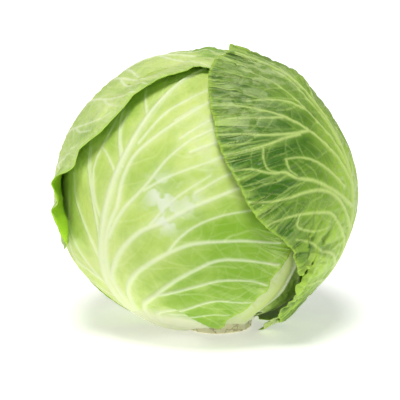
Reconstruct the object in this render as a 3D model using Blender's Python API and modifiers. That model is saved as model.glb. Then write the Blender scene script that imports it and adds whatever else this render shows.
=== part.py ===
"""A cut cabbage head standing on its stem.

Metres, +Z up.  The origin is the centre of the stem's cut face, which rests on the table.
The head is a tight ball of young leaves (the heart) wrapped in single leaves, one over the
other.  Every wrapper leaf is an open sheet laid on the head and given its thickness outwards.

Directions on the head are an azimuth, 0 at the front (-Y) and growing towards +X, and an
elevation.  Each leaf is drawn flat around the middle of its blade, in millimetres, as a radius
for each bearing: bearing 0 is the leaf's tip, 180 its foot on the stem, 90 its right side as
seen from outside the head.
"""
from dataclasses import dataclass, field
from math import atan2, cos, degrees, hypot, pi, radians, sin, sqrt

import bmesh
import bpy
from mathutils import Vector

MM = 0.001

# Driving sizes, millimetres
HEAD_CENTRE = Vector((-8.0, 0.0, 87.0))
HEAD_RADIUS = 81.6          # mean radius of the innermost leaf layer
HEAD_TAPER = -3.0           # the top is this much smaller and the bottom this much larger
HEAD_SQUASH = 2.2           # fuller round the middle, flatter at the top and bottom
LEAF_THICKNESS = 1.2
LAYER_PITCH = 2.5           # one leaf layer to the next
FOOT_PITCH = 0.5            # share of the pitch that is left where the leaves meet the stem
FOOT_ELEVATIONS = (-73.0, -58.0)
STUMP_RADIUS = 25.0
STUMP_HEIGHT = 15.0
STUMP_FOOT_DRAFT = 1.0      # the cut end is this much smaller than the stem above it
STUMP_LUMPS = 0.015         # share of the radius by which the stem's lumps swell and shrink
STUMP_SEGMENTS = 40
PIECE_GAP = 0.4             # between pieces that touch
FOOT_CLEARANCE = 1.5        # from the stem's wall to a leaf's foot
FOOT_HEIGHT = 8.0           # where the leaves' feet meet the stem
FLAT_RADIUS = 90.0          # radius at which a leaf's flat outline is measured


@dataclass
class Leaf:
    """One wrapper leaf: where it lies, what outline it has and how its margin stands off."""

    name: str
    middle: tuple               # azimuth and elevation of the middle of the blade, degrees
    foot_azimuth: float         # where it grows from the stem, degrees round the stem
    layer: float                # 0 is the innermost wrapper
    outline: list               # (bearing in degrees, radius in mm), once round
    flare: list = field(default_factory=lambda: [(0.0, 0.0)])   # (bearing, lift in mm)
    flare_band: float = 30.0    # how far in from the margin the lift starts, mm
    cells: int = 18
    colour: tuple = (0.5, 0.7, 0.2)
    roughness: float = 0.45


LEAVES = [
    Leaf("lower_right_leaf", (50, -32), 78, 0, cells=10, colour=(0.27, 0.47, 0.08),
         outline=[(0, 46), (45, 44), (90, 40), (130, 30), (158, 30), (172, 58), (180, 63),
                  (188, 60), (202, 34), (235, 32), (270, 36), (315, 44)]),
    Leaf("rib_leaf", (8, -28), 38, 1, cells=12, colour=(0.62, 0.70, 0.30),
         outline=[(0, 50), (40, 58), (65, 58), (90, 50), (108, 42), (129, 37), (152, 37),
                  (166, 52), (174, 74), (186, 76), (197, 46), (225, 36), (270, 40), (320, 46)]),
    Leaf("rear_leaf", (172, 0), 178, 1, colour=(0.36, 0.55, 0.14),
         outline=[(0, 140), (35, 120), (65, 108), (90, 104), (125, 98), (150, 92), (165, 98), (173, 112),
                  (187, 113), (196, 98), (210, 92), (235, 98), (270, 104), (295, 108), (325, 120)]),
    Leaf("front_leaf", (-12, -2), -42, 2, colour=(0.66, 0.78, 0.28),
         outline=[(0, 126), (25, 112), (50, 98), (75, 84), (92, 77), (107, 77), (120, 71),
                  (136, 73), (152, 81), (160, 92), (166, 94), (173, 114), (187, 117), (195, 98),
                  (210, 96), (235, 108), (262, 126), (290, 124), (320, 120)]),
    Leaf("back_leaf", (-118, 18), -122, 3.2, colour=(0.52, 0.70, 0.24),
         outline=[(0, 119), (10, 129), (31, 122), (50, 108), (58, 97), (69, 93), (76, 84),
                  (88, 84), (110, 84), (126, 90), (145, 104), (163, 126), (173, 148), (187, 150), (197, 126),
                  (215, 110), (245, 104), (270, 106), (300, 108), (335, 110)],
         flare=[(0, 0), (14, 0), (30, 2.5), (55, 4.5), (80, 5.0), (105, 6.5), (128, 5.0),
                (150, 1.0), (180, 0), (270, 0)], flare_band=42.0),
    Leaf("right_leaf", (84, 8), 120, 4.6, colour=(0.22, 0.42, 0.12),
         outline=[(0, 114), (30, 112), (60, 112), (90, 106), (120, 98), (150, 100), (164, 108), (173, 122),
                  (187, 124), (195, 110), (205, 104), (214, 103), (226, 95), (237, 95), (250, 86),
                  (262, 86), (273, 98), (290, 110), (307, 119), (322, 123), (334, 123), (350, 121)],
         flare=[(0, 0), (180, 0), (205, 1.5), (220, 3.5), (240, 3.0), (258, 0.5), (270, 0)],
         flare_band=26.0),
    Leaf("torn_stub", (62, -57), 66, 2, cells=6, colour=(0.30, 0.50, 0.08),
         outline=[(0, 16), (30, 13), (75, 6.5), (120, 5.0), (160, 9), (180, 13), (200, 9),
                  (240, 5.0), (285, 6.5), (330, 13)]),
]


def direction(azimuth, elevation):
    """Unit vector towards an azimuth and elevation in degrees."""
    a, e = radians(azimuth), radians(elevation)
    return Vector((sin(a) * cos(e), -cos(a) * cos(e), sin(e)))


def smoothstep(low, high, value):
    """0 below low, 1 above high and a smooth rise between."""
    t = min(max((value - low) / (high - low), 0.0), 1.0)
    return t * t * (3.0 - 2.0 * t)


def around(knots, bearing):
    """Value at a bearing from (bearing, value) knots that close on themselves, eased between."""
    bearing %= 360.0
    closed = knots + [(knots[0][0] + 360.0, knots[0][1])]
    for (b0, v0), (b1, v1) in zip(closed, closed[1:]):
        if b0 <= bearing <= b1:
            return v0 + (v1 - v0) * smoothstep(b0, b1, bearing)
    return knots[0][1]


def layer_radius(normal, layer):
    """Radius of the inner face of a leaf layer along a unit direction from the head's centre."""
    z = normal.z
    radius = HEAD_RADIUS + HEAD_TAPER * z + HEAD_SQUASH * (1.0 - 2.0 * z * z)
    elevation = degrees(atan2(z, hypot(normal.x, normal.y)))
    pitch = FOOT_PITCH + (1.0 - FOOT_PITCH) * smoothstep(*FOOT_ELEVATIONS, elevation)
    return radius + layer * LAYER_PITCH * pitch


def leaf_axes(leaf):
    """The leaf's own directions: outwards at the middle of the blade, to its right, to its tip."""
    outward = direction(*leaf.middle)
    a = radians(leaf.foot_azimuth)
    reach = STUMP_RADIUS + FOOT_CLEARANCE
    foot = Vector((reach * sin(a), -reach * cos(a), FOOT_HEIGHT)) - HEAD_CENTRE
    foot.normalize()
    tipward = -(foot - outward * foot.dot(outward)).normalized()
    return outward, tipward.cross(outward), tipward


def on_disc(x, y):
    """Map a square from -1 to 1 onto a disc, keeping its rows evenly spread."""
    return x * sqrt(1.0 - y * y / 2.0), y * sqrt(1.0 - x * x / 2.0)


def clear_of_stump(point):
    """Move a point low on the head that is inside the stem's wall out to its clearance."""
    reach = STUMP_RADIUS + FOOT_CLEARANCE
    distance = hypot(point.x, point.y)
    if distance < reach and point.z < HEAD_CENTRE.z:
        point.x *= reach / distance
        point.y *= reach / distance
    return point


def leaf_sheet(leaf):
    """The leaf as an open grid, bent from its flat outline onto its layer of the head."""
    outward, rightward, tipward = leaf_axes(leaf)
    bm = bmesh.new()
    bmesh.ops.create_grid(bm, x_segments=leaf.cells, y_segments=leaf.cells, size=1.0)
    for vert in bm.verts:
        x, y = on_disc(vert.co.x, vert.co.y)
        bearing = degrees(atan2(x, y))
        margin = around(leaf.outline, bearing)
        share = hypot(x, y)
        arc = share * margin / FLAT_RADIUS
        side = rightward * sin(radians(bearing)) + tipward * cos(radians(bearing))
        normal = outward * cos(arc) + side * sin(arc)
        lift = around(leaf.flare, bearing) * smoothstep(margin - leaf.flare_band, margin, share * margin)
        point = HEAD_CENTRE + normal * (layer_radius(normal, leaf.layer) + lift)
        vert.co = clear_of_stump(point) * MM
    return bm


def heart_ball():
    """The ball of inner leaves, one gap inside the first wrapper and cut flat above the stem."""
    bm = bmesh.new()
    bmesh.ops.create_icosphere(bm, subdivisions=4, radius=1.0)
    floor = STUMP_HEIGHT + PIECE_GAP
    for vert in bm.verts:
        normal = vert.co.normalized()
        point = HEAD_CENTRE + normal * (layer_radius(normal, 0) - LAYER_PITCH / 2.0)
        point.z = max(point.z, floor)
        vert.co = point * MM
    return bm


def stem_piece():
    """The stem's end: a lumpy, slightly drafted drum with a flat cut face at the origin."""
    bm = bmesh.new()
    bmesh.ops.create_cone(bm, cap_ends=True, segments=STUMP_SEGMENTS, depth=STUMP_HEIGHT,
                          radius1=STUMP_RADIUS - STUMP_FOOT_DRAFT, radius2=STUMP_RADIUS)
    for vert in bm.verts:
        turn = atan2(vert.co.y, vert.co.x)
        lump = 1.0 - STUMP_LUMPS * (2.0 + cos(3.0 * turn + 0.6) + cos(5.0 * turn))
        vert.co.x *= lump
        vert.co.y *= lump
        vert.co.z += STUMP_HEIGHT / 2.0
        vert.co *= MM
    return bm


def material(name, colour, roughness):
    """A plain Principled material."""
    made = bpy.data.materials.new(name)
    made.use_nodes = True
    shader = made.node_tree.nodes["Principled BSDF"]
    shader.inputs["Base Color"].default_value = (*colour, 1.0)
    shader.inputs["Roughness"].default_value = roughness
    shader.inputs["Metallic"].default_value = 0.0
    return made


def add_piece(collection, name, bm, colour, roughness):
    """Turn a bmesh into a smooth-shaded object with its own material."""
    mesh = bpy.data.meshes.new(name)
    bm.to_mesh(mesh)
    bm.free()
    mesh.shade_smooth()
    mesh.set_sharp_from_angle(angle=pi / 3.0)
    mesh.materials.append(material(name, colour, roughness))
    piece = bpy.data.objects.new(name, mesh)
    collection.objects.link(piece)
    return piece


def add_leaf(collection, leaf):
    """A wrapper leaf: its sheet with the leaf's thickness added on the outside."""
    piece = add_piece(collection, leaf.name, leaf_sheet(leaf), leaf.colour, leaf.roughness)
    wall = piece.modifiers.new("thickness", "SOLIDIFY")
    wall.thickness = LEAF_THICKNESS * MM
    wall.offset = 1.0
    return piece


def main():
    for old in list(bpy.data.objects):
        bpy.data.objects.remove(old, do_unlink=True)
    collection = bpy.data.collections.new("cabbage_head")
    bpy.context.scene.collection.children.link(collection)
    head = bpy.data.objects.new("cabbage_root", None)
    collection.objects.link(head)
    pieces = [
        add_piece(collection, "stem_stump", stem_piece(), (0.72, 0.66, 0.45), 0.6),
        add_piece(collection, "heart", heart_ball(), (0.80, 0.84, 0.50), 0.5),
    ]
    pieces += [add_leaf(collection, leaf) for leaf in LEAVES]
    for piece in pieces:
        piece.parent = head


main()
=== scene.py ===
"""The looks of a cut cabbage head that stands on its stem.

Lengths in the classes below are millimetres and are turned to metres when a mesh is made.
Directions on the head are an azimuth, 0 at the front (-Y) and growing towards +X, and an
elevation.  Each leaf is drawn flat around the middle of its blade, seen from outside the head:
x to its right, y towards its tip.  The plan is then bent onto the leaf's layer of the head.
"""

import logging
from collections.abc import Callable
from dataclasses import dataclass
from enum import Enum
from math import atan2, ceil, cos, floor, hypot, pi, radians, sin, sqrt
from typing import Any

import bmesh
import bpy
import numpy as np
from mathutils import Matrix, Vector
from mathutils.geometry import delaunay_2d_cdt
from mathutils.kdtree import KDTree


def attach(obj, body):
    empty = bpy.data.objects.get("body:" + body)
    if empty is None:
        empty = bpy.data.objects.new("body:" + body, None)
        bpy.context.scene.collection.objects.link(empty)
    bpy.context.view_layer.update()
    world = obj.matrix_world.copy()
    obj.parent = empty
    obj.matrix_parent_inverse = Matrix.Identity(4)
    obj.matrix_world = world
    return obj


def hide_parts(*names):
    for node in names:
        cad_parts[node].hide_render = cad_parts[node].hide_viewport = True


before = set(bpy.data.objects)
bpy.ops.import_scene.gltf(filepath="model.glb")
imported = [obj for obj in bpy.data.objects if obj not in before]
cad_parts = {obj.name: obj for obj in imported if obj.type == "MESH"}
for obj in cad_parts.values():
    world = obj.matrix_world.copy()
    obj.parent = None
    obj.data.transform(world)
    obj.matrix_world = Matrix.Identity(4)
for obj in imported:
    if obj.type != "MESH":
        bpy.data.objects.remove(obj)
LOG = logging.getLogger("cabbage")
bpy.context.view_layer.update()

MM = 0.001
FLAT_RADIUS = 90.0          # radius at which a leaf's flat plan is measured
WALL_MIDDLE = 0.6           # from a layer's inner face to the middle of its leaf
TABLE_GAP = 0.6             # no leaf comes lower than this above the table
GUIDE_STEP = 0.5            # spacing of the points that mark a rib's line
HASH_CELL = 2.0             # cell of the grid in which a growing vein looks for others

WHITE = (1.0, 1.0, 1.0, 1.0)
MATH = "ShaderNodeMath"
MAP_RANGE = "ShaderNodeMapRange"
NOISE = "ShaderNodeTexNoise"
SMOOTH = {"interpolation_type": "SMOOTHSTEP"}
TIMES = {"operation": "MULTIPLY"}

NodeTree = bpy.types.NodeTree
Socket = bpy.types.NodeSocket
Piece = bpy.types.Object
Points = np.ndarray
Pair = tuple[float, float]
Line = tuple[Pair, ...]         # points on a leaf's plan
Knots = tuple[Pair, ...]        # (bearing in degrees, value), bearings rising from 0


class Level(Enum):
    """Rank of a rib or vein in its leaf."""

    MIDRIB = 0
    SIDE_RIB = 1
    VEIN = 2


def add_node(tree: NodeTree, kind: str, settings: dict[str, Any] | None = None,
             values: dict[Any, Any] | None = None, links: dict[Any, Any] | None = None) -> bpy.types.Node:
    """Add a node with its settings, input values and incoming links.

    Args:
        tree: the node tree that gets the node.
        kind: the node's type name.
        settings: the node's own properties.
        values: values for inputs, by name or index.
        links: output sockets to join to inputs, by name or index.

    Returns:
        The new node.
    """
    node = tree.nodes.new(kind)
    for key, value in (settings or {}).items():
        setattr(node, key, value)
    set_inputs(node, values or {})
    for key, socket in (links or {}).items():
        tree.links.new(socket, node.inputs[key])
    return node


def set_inputs(node: bpy.types.Node, values: dict[Any, Any]) -> None:
    """Set a node's own input values, by name or index."""
    for key, value in values.items():
        node.inputs[key].default_value = value


def new_material(name: str) -> tuple[bpy.types.Material, NodeTree, bpy.types.Node]:
    """Make a material.

    Args:
        name: its name.

    Returns:
        The material, its tree and the tree's shader.
    """
    made = bpy.data.materials.new(name)
    made.use_nodes = True
    return made, made.node_tree, made.node_tree.nodes["Principled BSDF"]


def linear(colour: str) -> tuple[float, float, float, float]:
    """Turn an sRGB hex colour into Blender's linear values.

    Args:
        colour: six hex digits.

    Returns:
        Red, green, blue and an alpha of 1.
    """
    parts = [int(colour[k:k + 2], 16) / 255.0 for k in (0, 2, 4)]
    return (*(c / 12.92 if c <= 0.04045 else ((c + 0.055) / 1.055) ** 2.4 for c in parts), 1.0)


def ease(low: float, high: float, value: Any) -> Any:
    """Smooth step: 0 at low, 1 at high, flat beyond both."""
    t = np.clip((value - low) / (high - low), 0.0, 1.0)
    return t * t * (3.0 - 2.0 * t)


def around(knots: Knots, bearing: Points) -> Points:
    """Read values at bearings from knots that close on themselves, eased between.

    Args:
        knots: (bearing in degrees, value), rising from 0.
        bearing: bearings in degrees.

    Returns:
        The value at each bearing.
    """
    turn = np.mod(bearing, 360.0)
    closed = (*knots, (knots[0][0] + 360.0, knots[0][1]))
    result = np.full(turn.shape, knots[0][1], float)
    for (b0, v0), (b1, v1) in zip(closed, closed[1:]):
        here = (turn >= b0) & (turn <= b1)
        result[here] = v0 + (v1 - v0) * ease(b0, b1, turn[here])
    return result


def run_along(path: Points) -> Points:
    """Distance from a path's start to each of its points."""
    return np.concatenate([[0.0], np.cumsum(np.hypot(*np.diff(path, axis=0).T))])


def ahead_along(outline: Points) -> Points:
    """Unit direction along a closed outline at each of its points."""
    ahead = np.roll(outline, -1, 0) - np.roll(outline, 1, 0)
    return ahead / np.hypot(*ahead.T)[:, None]


def left_of(ahead: Points) -> Points:
    """Directions turned a quarter to the left on the plan."""
    return np.column_stack([-ahead[:, 1], ahead[:, 0]])


def bearings(plan: Points) -> Points:
    """Bearings in degrees of points on the plan, from the tip clockwise."""
    return np.degrees(np.arctan2(plan[:, 0], plan[:, 1]))


def search_tree(points: Points) -> KDTree:
    """Make a tree that finds the nearest of some points.

    Args:
        points: points on the plan.

    Returns:
        The tree, which holds them at a height of 0.
    """
    found = KDTree(len(points))
    for index, (x, y) in enumerate(points):
        found.insert((x, y, 0.0), index)
    found.balance()
    return found


def curve_through(points: Any, spacing: float, closed: bool = False, steps: int = 16) -> Points:
    """Even points along the smooth curve that passes through the given ones.

    Args:
        points: the curve's own points.
        spacing: distance between the points returned.
        closed: whether the last point joins the first.
        steps: samples between two of the curve's own points.

    Returns:
        The points, without a repeat of the first on a closed curve.
    """
    own = np.array(points, float)
    if closed:
        own = np.vstack([own[-1], own, own[0], own[1]])
    else:
        own = np.vstack([2.0 * own[0] - own[1], own, 2.0 * own[-1] - own[-2]])
    t = np.linspace(0.0, 1.0, steps, endpoint=False)[:, None]
    spans = [0.5 * (2.0 * b + (c - a) * t + (2.0 * a - 5.0 * b + 4.0 * c - d) * t ** 2
                    + (3.0 * b - a - 3.0 * c + d) * t ** 3)
             for a, b, c, d in zip(own, own[1:], own[2:], own[3:])]
    fine = np.vstack([*spans, own[-2][None]])
    run = run_along(fine)
    marks = np.linspace(0.0, run[-1], max(int(round(run[-1] / spacing)), 2) + 1)
    even = np.column_stack([np.interp(marks, run, column) for column in fine.T])
    return even[:-1] if closed else even


def within(outline: Points, points: Points) -> Points:
    """Whether points lie inside a closed outline.

    Args:
        outline: the outline's points in order.
        points: the points to test.

    Returns:
        True for each point inside.
    """
    inside = np.zeros(len(points), bool)
    for (ax, ay), (bx, by) in zip(outline, np.roll(outline, -1, 0)):
        cut = (ay <= points[:, 1]) != (by <= points[:, 1])
        crossing = ax + (points[cut, 1] - ay) / (by - ay) * (bx - ax)
        inside[np.flatnonzero(cut)[points[cut, 0] < crossing]] ^= True
    return inside


def direction(azimuth: float, elevation: float) -> Points:
    """Unit vector towards an azimuth and elevation in degrees."""
    a, e = radians(azimuth), radians(elevation)
    return np.array((sin(a) * cos(e), -cos(a) * cos(e), sin(e)))


def add_object(name: str, data: bpy.types.ID) -> Piece:
    """Make an object and link it to the scene."""
    made = bpy.data.objects.new(name, data)
    bpy.context.scene.collection.objects.link(made)
    return made


def mesh_object(name: str, points: Points, faces: list, attributes: dict[str, Points]) -> Piece:
    """Make a mesh object from points in millimetres.

    Args:
        name: the object's name.
        points: one row for each vertex, millimetres.
        faces: vertex indices of each face.
        attributes: a value or a vector for each vertex, by name.

    Returns:
        The object, linked to the scene.
    """
    mesh = bpy.data.meshes.new(name)
    mesh.from_pydata((points * MM).tolist(), [], faces)
    for key, values in attributes.items():
        vector = values.ndim == 2
        layer = mesh.attributes.new(key, "FLOAT_VECTOR" if vector else "FLOAT", "POINT")
        layer.data.foreach_set("vector" if vector else "value", np.ascontiguousarray(values, float).ravel())
    return add_object(name, mesh)


@dataclass(frozen=True)
class HeadForm:
    """The rounded form that every leaf layer follows."""

    centre: tuple[float, float, float] = (-8.0, 0.0, 87.0)
    radius: float = 81.6
    taper: float = -3.0                     # of the radius, from the middle to the crown
    squash: float = 2.2
    pitch: float = 2.5                      # from one leaf layer to the next
    foot_pitch: float = 0.5                 # share of the pitch that is left at the stem
    foot_elevations: Pair = (-73.0, -58.0)  # where the layers have closed up and where they start to
    stem_reach: float = 26.5                # leaves end this far from the stem's axis
    foot_height: float = 8.0
    lumps: float = 0.8

    def elevation(self, normals: Points) -> Points:
        """Elevation in degrees of unit directions."""
        return np.degrees(np.arctan2(normals[:, 2], np.hypot(normals[:, 0], normals[:, 1])))

    def layer_radius(self, normals: Points, layer: float) -> Points:
        """Radius of a leaf layer's inner face.

        Args:
            normals: unit directions from the head's centre.
            layer: 0 for the innermost wrapper leaf.

        Returns:
            The radius along each direction, millimetres.
        """
        x, y, z = normals.T
        height = self.elevation(normals)
        free = ease(*self.foot_elevations, height)
        pitch = self.foot_pitch + (1.0 - self.foot_pitch) * free
        swell = np.sin(3.1 * x + 2.2 * z + 0.7) * np.cos(2.7 * y - 1.9 * z)
        swell += 0.6 * np.sin(5.3 * z + 4.1 * x - 2.0)
        base = self.radius + self.taper * z + self.squash * (1.0 - 2.0 * z * z)
        return base + layer * self.pitch * pitch + self.lumps * swell * free


@dataclass(frozen=True)
class Rib:
    """A rib on a leaf's plan: its points from the root outwards, half widths and height."""

    points: Line
    half_widths: Pair = (2.0, 0.7)
    height: float = 1.1


@dataclass(frozen=True)
class Fan:
    """Side ribs that leave the midrib at even steps and bend towards the tip."""

    side: int                                   # 1 to the right of the midrib, -1 to the left
    reach: Pair                                 # first and last root, as shares of the midrib
    count: int = 7
    angles: Pair = (62.0, 30.0)                 # from the midrib, first and last
    bend: float = -0.35                         # degrees a millimetre, back towards the midrib
    half_widths: Pair = (2.0, 0.7)
    height: float = 1.1
    taper: float = 0.35                         # how much weaker the last rib is than the first
    shake: float = 4.0                          # degrees
    wander: float = 0.012                       # random turn each step, radians
    longest: float = 140.0


@dataclass(frozen=True)
class Patch:
    """A soft round patch on a leaf's plan that adds to a value."""

    x: float
    y: float
    radius: float
    amount: float

    def at(self, plan: Points) -> Points:
        """The patch's share at each point of the plan."""
        away = np.hypot(plan[:, 0] - self.x, plan[:, 1] - self.y) / self.radius
        return self.amount * np.exp(-away ** 2)


Patches = tuple[Patch, ...]


def sum_of(patches: Patches, plan: Points, base: float = 0.0) -> Points:
    """Add patches to a base value.

    Args:
        patches: the patches.
        plan: points on the leaf's plan.
        base: the value away from every patch.

    Returns:
        The value at each point.
    """
    total = np.full(len(plan), base, float)
    for patch in patches:
        total += patch.at(plan)
    return total


class VeinNet:
    """The net of ribs and veins on one leaf's plan, grown step by step from its main ribs."""

    step = 0.8                  # length of one step of growth
    clearance = 1.3             # a vein stops this close to another
    fewest = 4                  # steps of a vein that is kept
    first_pitch = (0.3, 1.0)    # shares of the pitch to the first branch
    pitch_shake = (0.75, 1.3)   # shares of the pitch from one branch to the next
    angle_shake = 12.0          # degrees
    branch_bend = 0.006         # radians a branch turns each millimetre, back towards its parent
    branch_wander = 0.035       # random turn each step, radians

    def __init__(self, outline: Points, seed: int) -> None:
        """Start an empty net.

        Args:
            outline: the leaf's margin.
            seed: fixes every random turn.
        """
        self.rng = np.random.default_rng(seed)
        self.cells: dict[tuple[int, int], list] = {}
        self.guides: list[tuple[Points, Points, float, Level]] = []
        self.margin = search_tree(outline)
        self.outwards = left_of(ahead_along(outline))

    def inside(self, x: float, y: float, band: float = 1.0) -> bool:
        """Whether a point lies inside the margin.

        Args:
            x: to the right on the plan.
            y: towards the tip.
            band: how far inside it has to be.

        Returns:
            True where it is at least that far inside.
        """
        found, index, away = self.margin.find((x, y, 0.0))
        ox, oy = self.outwards[index]
        return (x - found.x) * ox + (y - found.y) * oy < 0.0 and away > band

    def mark(self, path: Points, number: int) -> None:
        """Enter a path's points in the grid."""
        for x, y in path:
            self.cells.setdefault((floor(x / HASH_CELL), floor(y / HASH_CELL)), []).append((x, y, number))

    def crowded(self, x: float, y: float, own: tuple[int, ...]) -> bool:
        """Whether another path comes within the clearance of a point.

        Args:
            x: to the right on the plan.
            y: towards the tip.
            own: numbers of the paths that may come near.

        Returns:
            True where one does.
        """
        cx, cy = floor(x / HASH_CELL), floor(y / HASH_CELL)
        for key in ((cx + i, cy + j) for i in (-1, 0, 1) for j in (-1, 0, 1)):
            for px, py, number in self.cells.get(key, ()):
                if number not in own and hypot(px - x, py - y) < self.clearance:
                    return True
        return False

    def add(self, path: Points, half_widths: Pair, height: float, level: Level) -> int:
        """Keep a path as part of the net.

        Args:
            path: its points.
            half_widths: at its start and end.
            height: how far it stands out at its start.
            level: its rank.

        Returns:
            The path's number.
        """
        number = len(self.guides)
        self.guides.append((path, np.linspace(*half_widths, len(path)), height, level))
        self.mark(path, number)
        return number

    def grow(self, start: Points, heading: float, length: float, bend: float, wander: float,
             own: tuple[int, ...]) -> Points | None:
        """Grow a path until it meets another, the margin or its full length.

        Args:
            start: its first point, on its parent.
            heading: its first heading in radians.
            length: its full length.
            bend: radians it turns each millimetre.
            wander: random turn each step, radians.
            own: numbers of the paths it may touch.

        Returns:
            Its points, or None where it is too short to keep.
        """
        x, y = start
        path = [(x, y)]
        drift = 0.0
        near_root = own
        for index in range(int(length / self.step)):
            drift = 0.7 * drift + self.rng.normal(0.0, wander)
            heading += bend * self.step + drift
            x += cos(heading) * self.step
            y += sin(heading) * self.step
            path.append((x, y))
            if index >= self.fewest:
                near_root = ()
            if not self.inside(x, y) or self.crowded(x, y, near_root):
                break
        return np.array(path) if len(path) > self.fewest else None

    def branch(self, parents: list[int], level: Level, pitch: float, angle: float, length: float,
               half_widths: Pair, height: float) -> list[int]:
        """Grow branches on both sides of each parent.

        Args:
            parents: numbers of the parent paths.
            level: rank of the branches.
            pitch: mean distance between branches on one side.
            angle: between parent and branch, degrees.
            length: a branch's full length.
            half_widths: at its start and end.
            height: how far it stands out.

        Returns:
            The numbers of the branches.
        """
        made = []
        for parent in parents:
            path = self.guides[parent][0]
            run = run_along(path)
            for side in (-1, 1):
                place = pitch * self.rng.uniform(*self.first_pitch)
                while place < run[-1] - 1.0:
                    index = min(int(np.searchsorted(run, place)), len(path) - 2)
                    ahead = path[index + 1] - path[index]
                    shaken = angle + self.rng.uniform(-self.angle_shake, self.angle_shake)
                    heading = atan2(ahead[1], ahead[0]) + side * radians(shaken)
                    grown = self.grow(path[index], heading, length, -side * self.branch_bend,
                                      self.branch_wander, (parent,))
                    if grown is not None:
                        share = min(1.0, 0.25 + len(grown) * self.step / length)
                        made.append(self.add(grown, (half_widths[0] * share, half_widths[1]),
                                             height * share, level))
                    place += pitch * self.rng.uniform(*self.pitch_shake)
        return made


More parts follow.
